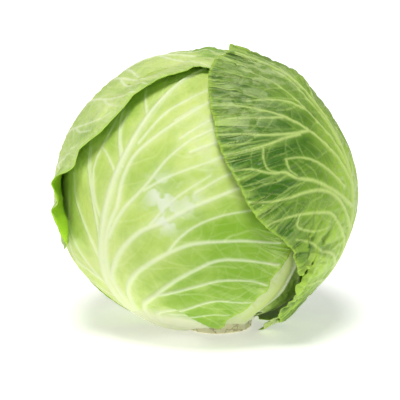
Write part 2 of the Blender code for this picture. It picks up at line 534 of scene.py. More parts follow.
class ReliefTree:
    """Geometry Nodes that raise ribs and veins on a leaf and ruffle its margin."""

    inputs = (("Guides", "NodeSocketObject"), ("Quilt height", "NodeSocketFloat"),
              ("Wrinkle height", "NodeSocketFloat"), ("Wrinkle length", "NodeSocketFloat"),
              ("Ruffle height", "NodeSocketFloat"), ("Ruffle length", "NodeSocketFloat"),
              ("Seed", "NodeSocketFloat"), ("Floor", "NodeSocketFloat"), ("Finish", "NodeSocketMaterial"))
    attributes = ("level", "half_width", "height", "along", "margin", "side", "thick", "loose", "out")
    bell_reach = 1.25                       # half widths from a line to where its relief ends
    halo_reach = 4.2                        # half widths from a line to where its pale band ends
    thinnest = 0.001 * MM                   # keeps a width above 0
    full_height = 0.4 * MM                  # a line this high shows in full, a lower one less
    least_shown = 0.1
    puff_edges = (0.3 * MM, 2.6 * MM)       # from a vein to where the blade starts and ends to puff up
    inward_pace = 0.09                      # of a wave's changes, against those along the margin
    ruffle_power = 1.6                      # how much nearer to the margin the broad waves keep

    def __init__(self) -> None:
        """Build the tree."""
        self.tree = bpy.data.node_groups.new("rib_relief", "GeometryNodeTree")
        face = self.tree.interface
        face.new_socket("Geometry", in_out="INPUT", socket_type="NodeSocketGeometry")
        for name, kind in self.inputs:
            face.new_socket(name, in_out="INPUT", socket_type=kind)
        face.new_socket("Geometry", in_out="OUTPUT", socket_type="NodeSocketGeometry")
        self.start = add_node(self.tree, "NodeGroupInput").outputs
        self.place = add_node(self.tree, "GeometryNodeInputPosition").outputs[0]
        self.read = {name: add_node(self.tree, "GeometryNodeInputNamedAttribute",
                                    {"data_type": "FLOAT_VECTOR" if name == "out" else "FLOAT"},
                                    {"Name": name}).outputs[0]
                     for name in self.attributes}
        self._join()

    def _line(self, guides: Socket, level: Level) -> dict[str, Socket]:
        """Measure how near the lines of one level run.

        Args:
            guides: every guide point.
            level: the rank to look at.

        Returns:
            Sockets: bell, 1 on the line and 0 at its half width; halo, a wider bell; height, the
            bell times the line's height; away, the distance in metres; shown, the bell, weaker on
            low lines.
        """
        tree = self.tree
        rank = add_node(tree, "FunctionNodeCompare", {"data_type": "FLOAT", "operation": "EQUAL"},
                        {"B": float(level.value), "Epsilon": 0.1}, {"A": self.read["level"]})
        chosen = add_node(tree, "GeometryNodeSeparateGeometry", {"domain": "POINT"}, None,
                          {"Geometry": guides, "Selection": rank.outputs[0]}).outputs[0]
        nearest = add_node(tree, "GeometryNodeSampleNearest", {"domain": "POINT"}, None,
                           {"Geometry": chosen, "Sample Position": self.place}).outputs[0]
        found = add_node(tree, "GeometryNodeSampleIndex", {"data_type": "FLOAT_VECTOR", "domain": "POINT"},
                         None, {"Geometry": chosen, "Value": self.place, "Index": nearest}).outputs[0]
        sampled = {name: add_node(tree, "GeometryNodeSampleIndex",
                                  {"data_type": "FLOAT", "domain": "POINT"}, None,
                                  {"Geometry": chosen, "Value": self.read[name],
                                   "Index": nearest}).outputs[0]
                   for name in ("half_width", "height")}
        away = add_node(tree, "ShaderNodeVectorMath", {"operation": "DISTANCE"}, None,
                        {0: self.place, 1: found}).outputs["Value"]
        width = add_node(tree, MATH, {"operation": "MAXIMUM"}, {1: self.thinnest},
                         {0: sampled["half_width"]}).outputs[0]
        share = add_node(tree, MATH, {"operation": "DIVIDE"}, None, {0: away, 1: width}).outputs[0]
        bell, halo = (add_node(tree, MAP_RANGE, SMOOTH,
                               {"From Min": reach, "From Max": 0.0}, {"Value": share}).outputs[0]
                      for reach in (self.bell_reach, self.halo_reach))
        height = add_node(tree, MATH, TIMES, None, {0: bell, 1: sampled["height"]}).outputs[0]
        rank_share = add_node(tree, MAP_RANGE, None,
                              {"From Max": self.full_height, "To Min": self.least_shown},
                              {"Value": sampled["height"]}).outputs[0]
        shown = add_node(tree, MATH, TIMES, None, {0: bell, 1: rank_share}).outputs[0]
        return {"bell": bell, "halo": halo, "height": height, "away": away, "shown": shown}

    def _waves(self, length: str, height: str, loose: Socket) -> Socket:
        """Waves that run square to the margin, as high as the leaf is loose.

        Args:
            length: input that holds the wave length along the margin, millimetres.
            height: input that holds the waves' height, metres.
            loose: how loose the leaf is, 0 to 1.

        Returns:
            The height to add.
        """
        tree = self.tree
        along, inwards = (add_node(tree, MATH, {"operation": "DIVIDE"}, None,
                                   {0: self.read[way], 1: self.start[length]}).outputs[0]
                          for way in ("along", "margin"))
        slow = add_node(tree, MATH, TIMES, {1: self.inward_pace}, {0: inwards}).outputs[0]
        where = add_node(tree, "ShaderNodeCombineXYZ", None, None,
                         {0: along, 1: slow, 2: self.start["Seed"]}).outputs[0]
        noise = add_node(tree, NOISE, None,
                         {"Scale": 1.0, "Detail": 1.0, "Roughness": 0.4}, {"Vector": where}).outputs[0]
        centred = add_node(tree, MATH, {"operation": "SUBTRACT"}, {1: 0.5}, {0: noise}).outputs[0]
        scaled = add_node(tree, MATH, TIMES, None, {0: centred, 1: self.start[height]}).outputs[0]
        return add_node(tree, MATH, TIMES, None, {0: scaled, 1: loose}).outputs[0]

    def _raise(self, ribs: dict[str, Socket], vein: dict[str, Socket]) -> Socket:
        """Ribs and veins stand out, and the blade puffs up between the veins, outside only.

        Args:
            ribs: what _line gives, for midrib and side ribs together.
            vein: what _line gives, for the veins.

        Returns:
            The height to add.
        """
        tree = self.tree
        raised = add_node(tree, MATH, {"operation": "MAXIMUM"}, None,
                          {0: ribs["height"], 1: vein["height"]}).outputs[0]
        clear = add_node(tree, MATH, {"operation": "MAXIMUM"}, None,
                         {0: ribs["bell"], 1: vein["bell"]}).outputs[0]
        puff = add_node(tree, MAP_RANGE, SMOOTH,
                        {"From Min": self.puff_edges[0], "From Max": self.puff_edges[1]},
                        {"Value": vein["away"]}).outputs[0]
        free = add_node(tree, MATH, {"operation": "SUBTRACT"}, {0: 1.0}, {1: clear}).outputs[0]
        quilt = self.start["Quilt height"]
        for share in (puff, free):
            quilt = add_node(tree, MATH, TIMES, None, {0: quilt, 1: share}).outputs[0]
        relief = add_node(tree, MATH, {"operation": "ADD"}, None, {0: raised, 1: quilt}).outputs[0]
        outside = add_node(tree, MATH, {"operation": "MAXIMUM"}, {1: 0.0},
                           {0: self.read["side"]}).outputs[0]
        for share in (self.read["thick"], outside):
            relief = add_node(tree, MATH, TIMES, None, {0: relief, 1: share}).outputs[0]
        return relief

    def _join(self) -> None:
        """Join the parts of the tree from its input to its output."""
        tree = self.tree
        guides = add_node(tree, "GeometryNodeObjectInfo", {"transform_space": "RELATIVE"}, None,
                          {"Object": self.start["Guides"]}).outputs["Geometry"]
        midrib, side_rib, vein = (self._line(guides, level) for level in Level)
        ribs = {part: add_node(tree, MATH, {"operation": "MAXIMUM"}, None,
                               {0: midrib[part], 1: side_rib[part]}).outputs[0]
                for part in ("bell", "halo", "height")}
        loose = self.read["loose"]
        fine = self._waves("Wrinkle length", "Wrinkle height", loose)
        steep = add_node(tree, MATH, {"operation": "POWER"}, {1: self.ruffle_power}, {0: loose}).outputs[0]
        total = self._raise(ribs, vein)
        for waves in (fine, self._waves("Ruffle length", "Ruffle height", steep)):
            total = add_node(tree, MATH, {"operation": "ADD"}, None, {0: total, 1: waves}).outputs[0]
        shift = add_node(tree, "ShaderNodeVectorMath", {"operation": "SCALE"}, None,
                         {0: self.read["out"], "Scale": total}).outputs[0]
        kept = self.start["Geometry"]
        # the fine wave's height is kept so that the material paints crests paler and hollows deeper green:
        # painted highlight and shade
        crest = add_node(tree, MATH, TIMES, {1: 1.0 / MM}, {0: fine}).outputs[0]
        for name, socket in (("rib", ribs["bell"]), ("halo", ribs["halo"]), ("vein", vein["shown"]),
                             ("crest", crest)):
            kept = add_node(tree, "GeometryNodeStoreNamedAttribute",
                            {"data_type": "FLOAT", "domain": "POINT"}, {"Name": name},
                            {"Geometry": kept, "Value": socket}).outputs[0]
        moved = add_node(tree, "GeometryNodeSetPosition", None, None,
                         {"Geometry": kept, "Offset": shift}).outputs[0]
        parts = add_node(tree, "ShaderNodeSeparateXYZ", None, None, {0: self.place}).outputs
        high = add_node(tree, MATH, {"operation": "MAXIMUM"}, None,
                        {0: parts[2], 1: self.start["Floor"]}).outputs[0]
        above = add_node(tree, "ShaderNodeCombineXYZ", None, None,
                         {0: parts[0], 1: parts[1], 2: high}).outputs[0]
        lifted = add_node(tree, "GeometryNodeSetPosition", None, None,
                          {"Geometry": moved, "Position": above}).outputs[0]
        smooth = add_node(tree, "GeometryNodeSetShadeSmooth", None, None, {"Geometry": lifted}).outputs[0]
        real = add_node(tree, "GeometryNodeRealizeInstances", None, None, {"Geometry": smooth}).outputs[0]
        dressed = add_node(tree, "GeometryNodeSetMaterial", None, None,
                           {"Geometry": real, "Material": self.start["Finish"]}).outputs[0]
        add_node(tree, "NodeGroupOutput", None, None, {"Geometry": dressed})

    def apply(self, sheet: Piece, **inputs: Any) -> Piece:
        """Run the tree on a sheet and keep the result as a plain mesh.

        Args:
            sheet: the leaf's sheet with its attributes.
            inputs: a value for each named input, with _ for a space.

        Returns:
            The sheet, with the new mesh and no modifier.
        """
        modifier = sheet.modifiers.new("relief", "NODES")
        modifier.node_group = self.tree
        for item in self.tree.interface.items_tree:
            key = item.name.replace(" ", "_")
            if item.item_type == "SOCKET" and item.in_out == "INPUT" and key in inputs:
                modifier[item.identifier] = inputs[key]
        bpy.context.view_layer.update()
        depsgraph = bpy.context.evaluated_depsgraph_get()
        mesh = bpy.data.meshes.new_from_object(sheet.evaluated_get(depsgraph))
        sheet.modifiers.clear()
        old = sheet.data
        sheet.data = mesh
        bpy.data.meshes.remove(old)
        mesh.name = sheet.name
        return sheet


@dataclass(frozen=True)
class LeafFinish:
    """Fresh cabbage leaf, grown: a satin, faintly waxy skin whose ribs are paler than the blade.

    The wax scatters light, so the leaf shines softly and never like plastic; ribs and the smallest
    veins hold little green and read as whitish lines with a pale band on both sides.
    """

    name: str
    pale: str = "D3E58E"            # young blade
    green: str = "A3C657"           # blade where it has had light
    rib: str = "E9F0CC"
    halo: str = "DCEAAE"
    vein: str = "D2E495"
    bloom: str = "C6DCC0"           # wax bloom, and painted sheen where its patches stand for a highlight
    inner: str = "9CC63C"           # the side that faced the head, its green kept bright as painted light for light that comes through the leaf
    bare: str = "DCE0BE"            # leaf stalk without blade
    margin: str = "BDD86A"
    halo_share: float = 0.55
    old_halo: float = 0.35          # share of the pale band that is left on the deepest green
    rib_share: float = 0.9
    vein_share: float = 0.5
    crest_shading_share: float = 0.6        # painted highlight and shade: how much paler a wrinkle's crest and how much deeper green its hollow is painted, for each mm
    crinkle_pitch: float = 3.0      # mm, between the fine folds that run in from the margin
    crinkle_reach: float = 30.0     # mm, how far in they run
    # painted highlight: share of the pale colour painted on the crests of the fine folds
    crinkle_highlight_share: float = 0.5
    crinkle_height: float = 0.4     # mm
    crinkle_width: float = 0.09     # share of the pitch, roughly
    crinkle_pace: float = 0.07      # of its changes inwards, against those along the margin
    margin_width: float = 1.5       # mm
    margin_share: float = 0.8
    mottle: float = 0.9             # slow changes of green
    mottle_size: float = 14.0       # mm
    wax_size: float = 8.0           # mm, patches where the wax is whole between rubbed ones
    wax_edges: Pair = (0.43, 0.57)  # of the patches' noise, from rubbed to whole
    wax_rubbed: float = 0.25        # what is left where it is rubbed
    inner_vein_share: float = 0.35
    inner_rib_share: float = 0.5
    cell_size: float = 0.9          # mm, the skin's finest unevenness, drawn coarser than life
    cell_height: float = 0.25       # mm
    roughness: float = 0.46
    rub: Pair = (-0.07, 0.1)        # change of roughness between rubbed and whole wax
    ior: float = 1.42               # wax
    specular: float = 0.35          # wax scatters part of what would shine
    translucence: float = 0.22      # light that comes through from the far side
    scatter: tuple[float, float, float] = (0.7, 1.0, 0.25)
    scatter_depth: float = 1.5      # mm

    def _coat(self, tree: NodeTree, under: Any, over: str, share: Socket,
              strength: float = 1.0) -> Socket:
        """Lay a colour over another.

        Args:
            tree: the material's tree.
            under: socket or hex colour below.
            over: hex colour above.
            share: how much of the upper colour shows.
            strength: scales the share.

        Returns:
            The mixed colour.
        """
        scaled = add_node(tree, MATH, {"operation": "MULTIPLY", "use_clamp": True},
                          {1: strength}, {0: share}).outputs[0]
        values = {7: linear(over)}
        links = {0: scaled}
        if isinstance(under, str):
            values[6] = linear(under)
        else:
            links[6] = under
        return add_node(tree, "ShaderNodeMix", {"data_type": "RGBA"}, values, links).outputs[2]

    def _crinkle(self, tree: NodeTree, read: dict[str, Socket]) -> Socket:
        """Fine folds that run in from the margin where the leaf is loose; the material bumps them and
        paints their crests pale, a painted highlight.

        Args:
            tree: the material's tree.
            read: the sheet's attributes.

        Returns:
            1 on a fold's crest, 0 between folds.
        """
        along, inwards = (add_node(tree, MATH, TIMES, {1: pace / self.crinkle_pitch},
                                   {0: read[way]}).outputs[0]
                          for way, pace in (("along", 1.0), ("margin", self.crinkle_pace)))
        where = add_node(tree, "ShaderNodeCombineXYZ", None, None, {0: along, 1: inwards}).outputs[0]
        noise = add_node(tree, NOISE, {"noise_dimensions": "2D"},
                         {"Scale": 1.0, "Detail": 1.0, "Roughness": 0.4}, {"Vector": where}).outputs[0]
        centred = add_node(tree, MATH, {"operation": "SUBTRACT"}, {1: 0.5}, {0: noise}).outputs[0]
        away = add_node(tree, MATH, {"operation": "ABSOLUTE"}, None, {0: centred}).outputs[0]
        crest, near = (add_node(tree, MAP_RANGE, SMOOTH,
                                {"From Min": reach, "From Max": 0.0}, {"Value": distance}).outputs[0]
                       for reach, distance in ((self.crinkle_width, away),
                                               (self.crinkle_reach, read["margin"])))
        shown = add_node(tree, MATH, TIMES, None, {0: near, 1: read["folded"]}).outputs[0]
        return add_node(tree, MATH, {"operation": "MULTIPLY", "use_clamp": True}, None,
                        {0: crest, 1: shown}).outputs[0]

    def material(self) -> bpy.types.Material:
        """Build the material, which reads the attributes that WrapperLeaf and ReliefTree store.

        Returns:
            The material.
        """
        made, tree, shader = new_material(self.name)
        read = {name: add_node(tree, "ShaderNodeAttribute", {"attribute_name": name}).outputs["Fac"]
                for name in ("deep", "rib", "halo", "vein", "bloom", "side", "margin", "bare", "crest",
                             "along", "folded")}
        plan = add_node(tree, "ShaderNodeAttribute", {"attribute_name": "plan"}).outputs["Vector"]
        mottle = add_node(tree, NOISE, None,
                          {"Scale": 1.0 / self.mottle_size, "Detail": 3.0, "Roughness": 0.55},
                          {"Vector": plan}).outputs[0]
        shifted = add_node(tree, MATH, {"operation": "MULTIPLY_ADD"},
                           {1: self.mottle, 2: -0.5 * self.mottle}, {0: mottle}).outputs[0]
        mottled = add_node(tree, MATH, {"operation": "ADD"}, None, {0: read["deep"], 1: shifted}).outputs[0]
        # painted highlight and shade: the wrinkles' crests get paler, their hollows deeper green
        deep = add_node(tree, MATH, {"operation": "MULTIPLY_ADD", "use_clamp": True},
                        {1: -self.crest_shading_share}, {0: read["crest"], 2: mottled}).outputs[0]
        young = add_node(tree, MAP_RANGE, None, {"To Min": 1.0, "To Max": self.old_halo},
                         {"Value": deep}).outputs[0]
        band = add_node(tree, MATH, TIMES, None, {0: read["halo"], 1: young}).outputs[0]
        crinkle = self._crinkle(tree, read)
        wax_noise = add_node(tree, NOISE, None,
                             {"Scale": 1.0 / self.wax_size, "Detail": 1.0, "Roughness": 0.5},
                             {"Vector": plan}).outputs[0]
        wax_share = add_node(tree, MAP_RANGE, SMOOTH,
                             {"From Min": self.wax_edges[0], "From Max": self.wax_edges[1],
                              "To Min": self.wax_rubbed},
                             {"Value": wax_noise}).outputs[0]
        # wax bloom and painted sheen, thinner where the wax is rubbed
        wax_and_sheen_mask = add_node(tree, MATH, {"operation": "MULTIPLY", "use_clamp": True}, None,
                       {0: read["bloom"], 1: wax_share}).outputs[0]
        rim = add_node(tree, MAP_RANGE, SMOOTH,
                       {"From Min": self.margin_width * 2.0, "From Max": 0.0, "To Max": self.margin_share},
                       {"Value": read["margin"]}).outputs[0]
        colour = self._coat(tree, self.pale, self.green, deep)
        # the first coat is a painted highlight on the crests of the fine folds
        for over, share, strength in (
                (self.vein, crinkle, self.crinkle_highlight_share), (self.vein, read["vein"], self.vein_share),
                (self.halo, band, self.halo_share), (self.rib, read["rib"], self.rib_share),
                (self.bloom, wax_and_sheen_mask, 1.0), (self.margin, rim, 1.0), (self.bare, read["bare"], 1.0)):
            colour = self._coat(tree, colour, over, share, strength)
        # the inner side: its own green, brightened as painted light, with paler veins and ribs
        inner = self._coat(tree, self.inner, self.vein, read["vein"], self.inner_vein_share)
        inner = self._coat(tree, inner, self.halo, read["rib"], self.inner_rib_share)
        outside = add_node(tree, MATH, {"operation": "GREATER_THAN"}, {1: 0.0},
                           {0: read["side"]}).outputs[0]
        final = add_node(tree, "ShaderNodeMix", {"data_type": "RGBA"}, None,
                         {0: outside, 6: inner, 7: colour}).outputs[2]
        tree.links.new(final, shader.inputs["Base Color"])
        cells = add_node(tree, NOISE, None,
                         {"Scale": 1.0 / self.cell_size, "Detail": 3.0, "Roughness": 0.6},
                         {"Vector": plan}).outputs[0]
        skin = add_node(tree, "ShaderNodeBump", None,
                        {"Strength": 0.35, "Distance": self.cell_height * MM}, {"Height": cells}).outputs[0]
        folds = add_node(tree, "ShaderNodeBump", None,
                         {"Strength": 0.9, "Distance": self.crinkle_height * MM},
                         {"Height": crinkle, "Normal": skin}).outputs[0]
        tree.links.new(folds, shader.inputs["Normal"])
        gloss = add_node(tree, MAP_RANGE, None,
                         {"From Min": 0.3, "From Max": 0.7, "To Min": self.roughness + self.rub[0],
                          "To Max": self.roughness + self.rub[1]}, {"Value": wax_noise}).outputs[0]
        tree.links.new(gloss, shader.inputs["Roughness"])
        set_inputs(shader, {"IOR": self.ior, "Specular IOR Level": self.specular,
                            "Subsurface Weight": self.translucence, "Subsurface Radius": self.scatter,
                            "Subsurface Scale": self.scatter_depth * MM})
        return made


@dataclass(frozen=True)
class Overlap:
    """A ragged edge inside a leaf's plan where its blade rides over the bare stalk.

    The line runs so that the blade is on its left.
    """

    line: Line
    height: float = 1.6
    reach: float = 22.0
    teeth: float = 1.1


@dataclass(frozen=True)
class Crease:
    """A fold along a line of the plan: raised where its depth is positive, sunk where negative."""

    line: Line
    half_width: float
    depth: float


@dataclass(frozen=True)
class WrapperLeaf:
    """One wrapper leaf: its place, plan, ribs, folds and colours."""

    name: str
    slot: str
    finish: LeafFinish
    middle: Pair                            # azimuth and elevation of the middle of its blade
    foot_azimuth: float
    layer: float
    outline: Line
    midrib: Line
    ribs: tuple[Rib, ...] = ()
    fans: tuple[Fan, ...] = ()
    overlaps: tuple[Overlap, ...] = ()
    creases: tuple[Crease, ...] = ()
    swells: Patches = ()                    # where it lies farther from or closer to the head, mm
    flare: Knots = ((0.0, 0.0),)            # how far the margin stands off at a bearing, mm
    flare_band: Knots = ((0.0, 30.0),)      # width of the band that stands off, mm
    flare_power: Knots = ((0.0, 2.0),)      # how late in that band it turns away
    loose: Knots = ((0.0, 1.0),)            # how freely the margin ruffles at a bearing
    loose_band: float = 18.0
    folded: Knots = ((0.0, 0.5),)           # how strongly fine folds show at a bearing
    deep: float = 0.35
    deep_patches: Patches = ()
    # wax bloom and painted sheen: an even amount, and patches of which some are painted highlights
    bloom: float = 0.0
    bloom_patches: Patches = ()
    bare_patches: Patches = ()
    midrib_half_widths: Pair = (6.0, 1.2)
    midrib_height: float = 2.2
    wall: float = 0.7
    spacing: float = 0.9
    inner_spacing: float = 3.0
    edge_step: float = 0.8
    teeth: float = 0.7
    tooth_pitch: float = 2.6
    quilt: float = 0.35
    wrinkle: Pair = (0.5, 3.0)              # height and length, mm
    ruffle: Pair = (1.5, 14.0)
    vein_pitch: Pair = (9.0, 5.0)           # between veins of the first and second rank
    vein_angles: Pair = (58.0, 66.0)        # from their parents, degrees
    vein_lengths: Pair = (34.0, 14.0)
    vein_half_widths: tuple[Pair, Pair] = ((1.1, 0.75), (0.75, 0.6))
    vein_height: float = 0.45
    seed: int = 1

    # shares and steps that all leaves have in common
    lattice_shake = 0.12                    # of the spacing
    tooth_sizes = ((1.0, 0.6), (3.7, 1.0))  # share of the tooth pitch, share of the depth
    rim_wall = 0.55                         # share of the wall that is left at the margin
    rim_band = 10.0                         # the wall is full this far in
    midrib_fade = 0.45                      # how much lower a midrib's end is than its start
    rib_fade = 0.7

    def axes(self, form: HeadForm) -> tuple[Points, Points, Points]:
        """The leaf's own directions.

        Args:
            form: the head.

        Returns:
            Unit vectors outwards at the middle of the blade, to its right and towards its tip.
        """
        outward = direction(*self.middle)
        a = radians(self.foot_azimuth)
        reach = form.stem_reach
        foot = np.array((reach * sin(a), -reach * cos(a), form.foot_height)) - np.array(form.centre)
        foot /= np.linalg.norm(foot)
        tipward = -(foot - outward * foot.dot(outward))
        tipward /= np.linalg.norm(tipward)
        return outward, np.cross(tipward, outward), tipward

    def lay(self, form: HeadForm, plan: Points, lift: Points) -> tuple[Points, Points]:
        """Bend points of the plan onto the head.

        Args:
            form: the head.
            plan: points on the leaf's plan.
            lift: how far each stands off its layer, millimetres.

        Returns:
            The points, and the outward direction at each.
        """
        outward, rightward, tipward = self.axes(form)
        bearing = np.arctan2(plan[:, 0], plan[:, 1])[:, None]
        arc = np.hypot(plan[:, 0], plan[:, 1])[:, None] / FLAT_RADIUS
        across = rightward * np.sin(bearing) + tipward * np.cos(bearing)
        normal = outward * np.cos(arc) + across * np.sin(arc)
        radius = form.layer_radius(normal, self.layer) + WALL_MIDDLE + lift
        points = np.array(form.centre) + normal * radius[:, None]
        distance = np.hypot(points[:, 0], points[:, 1])
        low = (distance < form.stem_reach) & (points[:, 2] < form.centre[2])
        points[low, :2] *= (form.stem_reach / np.maximum(distance[low], 1e-6))[:, None]
        return points, normal

    def margin_line(self) -> Points:
        """The margin with its teeth.

        Returns:
            Points once round, almost even.
        """
        line = curve_through(self.outline, self.edge_step, closed=True)
        rng = np.random.default_rng(self.seed)
        sideways = left_of(ahead_along(line))
        place = np.arange(len(line)) * self.edge_step
        total = len(line) * self.edge_step
        push = np.zeros(len(line))
        for size, share in self.tooth_sizes:
            marks = np.linspace(0.0, total, max(int(total / (self.tooth_pitch * size)), 4) + 1)
            heights = rng.uniform(-1.0, 1.0, len(marks))
            heights[-1] = heights[0]
            push += share * np.interp(place, marks, heights)
        return line + sideways * (push * self.teeth * around(self.loose, bearings(line)))[:, None]

    def lattice(self, outline: Points, spacing: float) -> Points:
        """Points inside an outline on a net of even triangles, a little shaken.

        Args:
            outline: the margin.
            spacing: side of the triangles.

        Returns:
            The points, kept clear of the outline.
        """
        rng = np.random.default_rng(self.seed + 7)
        ends = np.roll(outline, -1, 0)
        rows = []
        heights = np.arange(outline[:, 1].min(), outline[:, 1].max(), spacing * sqrt(3.0) / 2.0)
        for index, y in enumerate(heights):
            cut = (outline[:, 1] <= y) != (ends[:, 1] <= y)
            a, b = outline[cut], ends[cut]
            crossings = np.sort(a[:, 0] + (y - a[:, 1]) / (b[:, 1] - a[:, 1]) * (b[:, 0] - a[:, 0]))
            for left, right in zip(crossings[::2], crossings[1::2]):
                offset = 0.5 * (index % 2)
                first, last = ceil(left / spacing - offset), floor(right / spacing - offset)
                x = (np.arange(first, last + 1) + offset) * spacing
                rows.append(np.column_stack([x, np.full(len(x), y)]))
        points = np.vstack(rows)
        points += rng.uniform(-self.lattice_shake, self.lattice_shake, points.shape) * spacing
        margin = search_tree(outline)
        clear = [margin.find((x, y, 0.0))[2] > 0.55 * min(spacing, 1.6) for x, y in points]
        return points[np.array(clear)]

    def triangles(self, plan: Points, edge_count: int) -> list[tuple[int, ...]]:
        """Triangles inside a margin.

        Args:
            plan: the margin's points, then the points inside it.
            edge_count: how many of them are the margin.

        Returns:
            Vertex indices, turning left seen from outside the head.
        """
        found = delaunay_2d_cdt([Vector(p) for p in plan], [], [list(range(edge_count))], 1, 1e-7, True)
        if len(found[0]) != len(plan):
            LOG.warning("%s: its margin crosses itself", self.name)
        origin = {new: old[0] for new, old in enumerate(found[3]) if old}
        faces = [tuple(origin[v] for v in face) for face in found[2] if all(v in origin for v in face)]
        corners = np.array(faces)
        bridging = np.all(corners < edge_count, axis=1)
        middle = plan[corners].mean(1)
        corners = corners[~bridging | within(plan[:edge_count], middle)]
        a, b, c = (plan[corners[:, k]] for k in range(3))
        area = (b[:, 0] - a[:, 0]) * (c[:, 1] - a[:, 1]) - (b[:, 1] - a[:, 1]) * (c[:, 0] - a[:, 0])
        corners[area < 0.0] = corners[area < 0.0][:, ::-1]
        return [tuple(face) for face in corners.tolist()]

    def fold_lift(self, plan: Points, margin: Points) -> tuple[Points, Points]:
        """How far the plan's points stand off their layer, and where the stalk is bare.

        Args:
            plan: points on the plan.
            margin: distance of each from the margin.

        Returns:
            The lift in millimetres, and 1 where the stalk is bare, 0 on the blade.
        """
        bearing = bearings(plan)
        band = around(self.flare_band, bearing)
        share = np.clip(1.0 - margin / band, 0.0, 1.0)
        lift = around(self.flare, bearing) * share ** around(self.flare_power, bearing)
        lift += sum_of(self.swells, plan)
        bare = np.clip(sum_of(self.bare_patches, plan), 0.0, 1.0)
        for crease in self.creases:
            away, along, _ = self._from_line(crease.line, plan, 0.0)
            lift += crease.depth * (1.0 - ease(0.0, crease.half_width, away)) * np.sin(pi * along) ** 0.6
        for overlap in self.overlaps:
            away, along, left = self._from_line(overlap.line, plan, overlap.teeth)
            signed = np.where(left, away, -away)
            ends = ease(0.0, 0.12, along) * ease(1.0, 0.88, along)
            lift += overlap.height * ease(-0.3, 0.4, signed) * ease(overlap.reach, 0.0, signed) * ends
            covered = ease(-0.25, 0.25, signed) * np.where(away < overlap.reach * 2.0, 1.0, 0.0)
            bare = bare * (1.0 - covered)
        return lift, bare

    def _from_line(self, line: tuple, plan: Points, teeth: float) -> tuple[Points, Points, Points]:
        """Measure points against a line of the plan.

        Args:
            line: the line's points.
            plan: the points to measure.
            teeth: depth of the line's ragged teeth.

        Returns:
            The distance, the place along the line from 0 to 1 and whether a point is on its left.
        """
        path = curve_through(line, 0.5)
        ahead = np.gradient(path, axis=0)
        ahead /= np.hypot(*ahead.T)[:, None]
        left = left_of(ahead)
        if teeth:
            rng = np.random.default_rng(self.seed + 31)
            marks = np.linspace(0.0, 1.0, max(len(path) // 7, 4))
            push = np.interp(np.linspace(0.0, 1.0, len(path)), marks, rng.uniform(-1.0, 1.0, len(marks)))
            path = path + left * (push * teeth)[:, None]
        away = np.full(len(plan), 1e3)
        along = np.zeros(len(plan))
        on_left = np.zeros(len(plan), bool)
        near = np.all((plan > path.min(0) - 60.0) & (plan < path.max(0) + 60.0), axis=1)
        for part in np.array_split(np.flatnonzero(near), max(int(near.sum() / 4000), 1)):
            gap = plan[part][:, None, :] - path[None, :, :]
            distance = np.hypot(gap[..., 0], gap[..., 1])
            index = distance.argmin(1)
            own = gap[np.arange(len(part)), index]
            away[part] = distance[np.arange(len(part)), index]
            along[part] = index / (len(path) - 1)
            on_left[part] = (own * left[index]).sum(1) > 0.0
        return away, along, on_left

    def net(self, outline: Points) -> VeinNet:
        """Grow the leaf's ribs and veins.

        Args:
            outline: the margin.

        Returns:
            The net with every path.
        """
        net = VeinNet(outline, self.seed + 3)
        middle = curve_through(self.midrib, net.step)
        root = net.add(middle, self.midrib_half_widths, self.midrib_height, Level.MIDRIB)
        main = [root]
        for rib in self.ribs:
            main.append(net.add(curve_through(rib.points, net.step), rib.half_widths, rib.height,
                                Level.SIDE_RIB))
        for fan in self.fans:
            for share in np.linspace(0.0, 1.0, fan.count):
                place = fan.reach[0] + (fan.reach[1] - fan.reach[0]) * share
                index = int(place * (len(middle) - 2))
                ahead = middle[index + 1] - middle[index]
                angle = fan.angles[0] + (fan.angles[1] - fan.angles[0]) * share
                angle += net.rng.uniform(-fan.shake, fan.shake)
                heading = atan2(ahead[1], ahead[0]) - fan.side * radians(angle)
                grown = net.grow(middle[index], heading, fan.longest, -fan.side * radians(fan.bend),
                                 fan.wander, (root,))
                if grown is not None:
                    size = 1.0 - fan.taper * share
                    widths = (fan.half_widths[0] * size, fan.half_widths[1])
                    main.append(net.add(grown, widths, fan.height * size, Level.SIDE_RIB))
        parents = main
        for rank, pitch in enumerate(self.vein_pitch):
            parents = net.branch(parents, Level.VEIN, pitch, self.vein_angles[rank],
                                 self.vein_lengths[rank], self.vein_half_widths[rank],
                                 self.vein_height * 0.5 ** rank)
        return net

    def guides(self, form: HeadForm, net: VeinNet, lift_of: Callable[[Points], Points]) -> Piece:
        """Make the points that mark every rib's line on the bent leaf.

        Args:
            form: the head.
            net: the leaf's ribs and veins.
            lift_of: gives the lift at points of the plan.

        Returns:
            An object with one vertex for each point.
        """
        plans, widths, heights, levels = [], [], [], []
        for path, width, height, level in net.guides:
            run = run_along(path)
            marks = np.linspace(0.0, run[-1], max(int(run[-1] / GUIDE_STEP), 2))
            plans.append(np.column_stack([np.interp(marks, run, path[:, k]) for k in (0, 1)]))
            widths.append(np.interp(marks, run, width))
            fade = self.midrib_fade if level is Level.MIDRIB else self.rib_fade
            heights.append(height * (1.0 - fade * np.linspace(0.0, 1.0, len(marks))))
            levels.append(np.full(len(marks), float(level.value)))
        plan = np.vstack(plans)
        points = self.lay(form, plan, lift_of(plan))[0]
        return mesh_object(f"{self.name}_guides", points, [], {
            "half_width": np.concatenate(widths) * MM, "height": np.concatenate(heights) * MM,
            "level": np.concatenate(levels)})

    def build(self, form: HeadForm, relief: ReliefTree) -> Piece:
        """Build the leaf and its material.

        Args:
            form: the head.
            relief: the tree that raises its ribs.

        Returns:
            The finished piece.
        """
        outline = self.margin_line()
        net = self.net(outline)
        count = len(outline)
        plans = [np.vstack([outline, self.lattice(outline, step)])
                 for step in (self.spacing, self.inner_spacing)]
        ahead = ahead_along(outline)

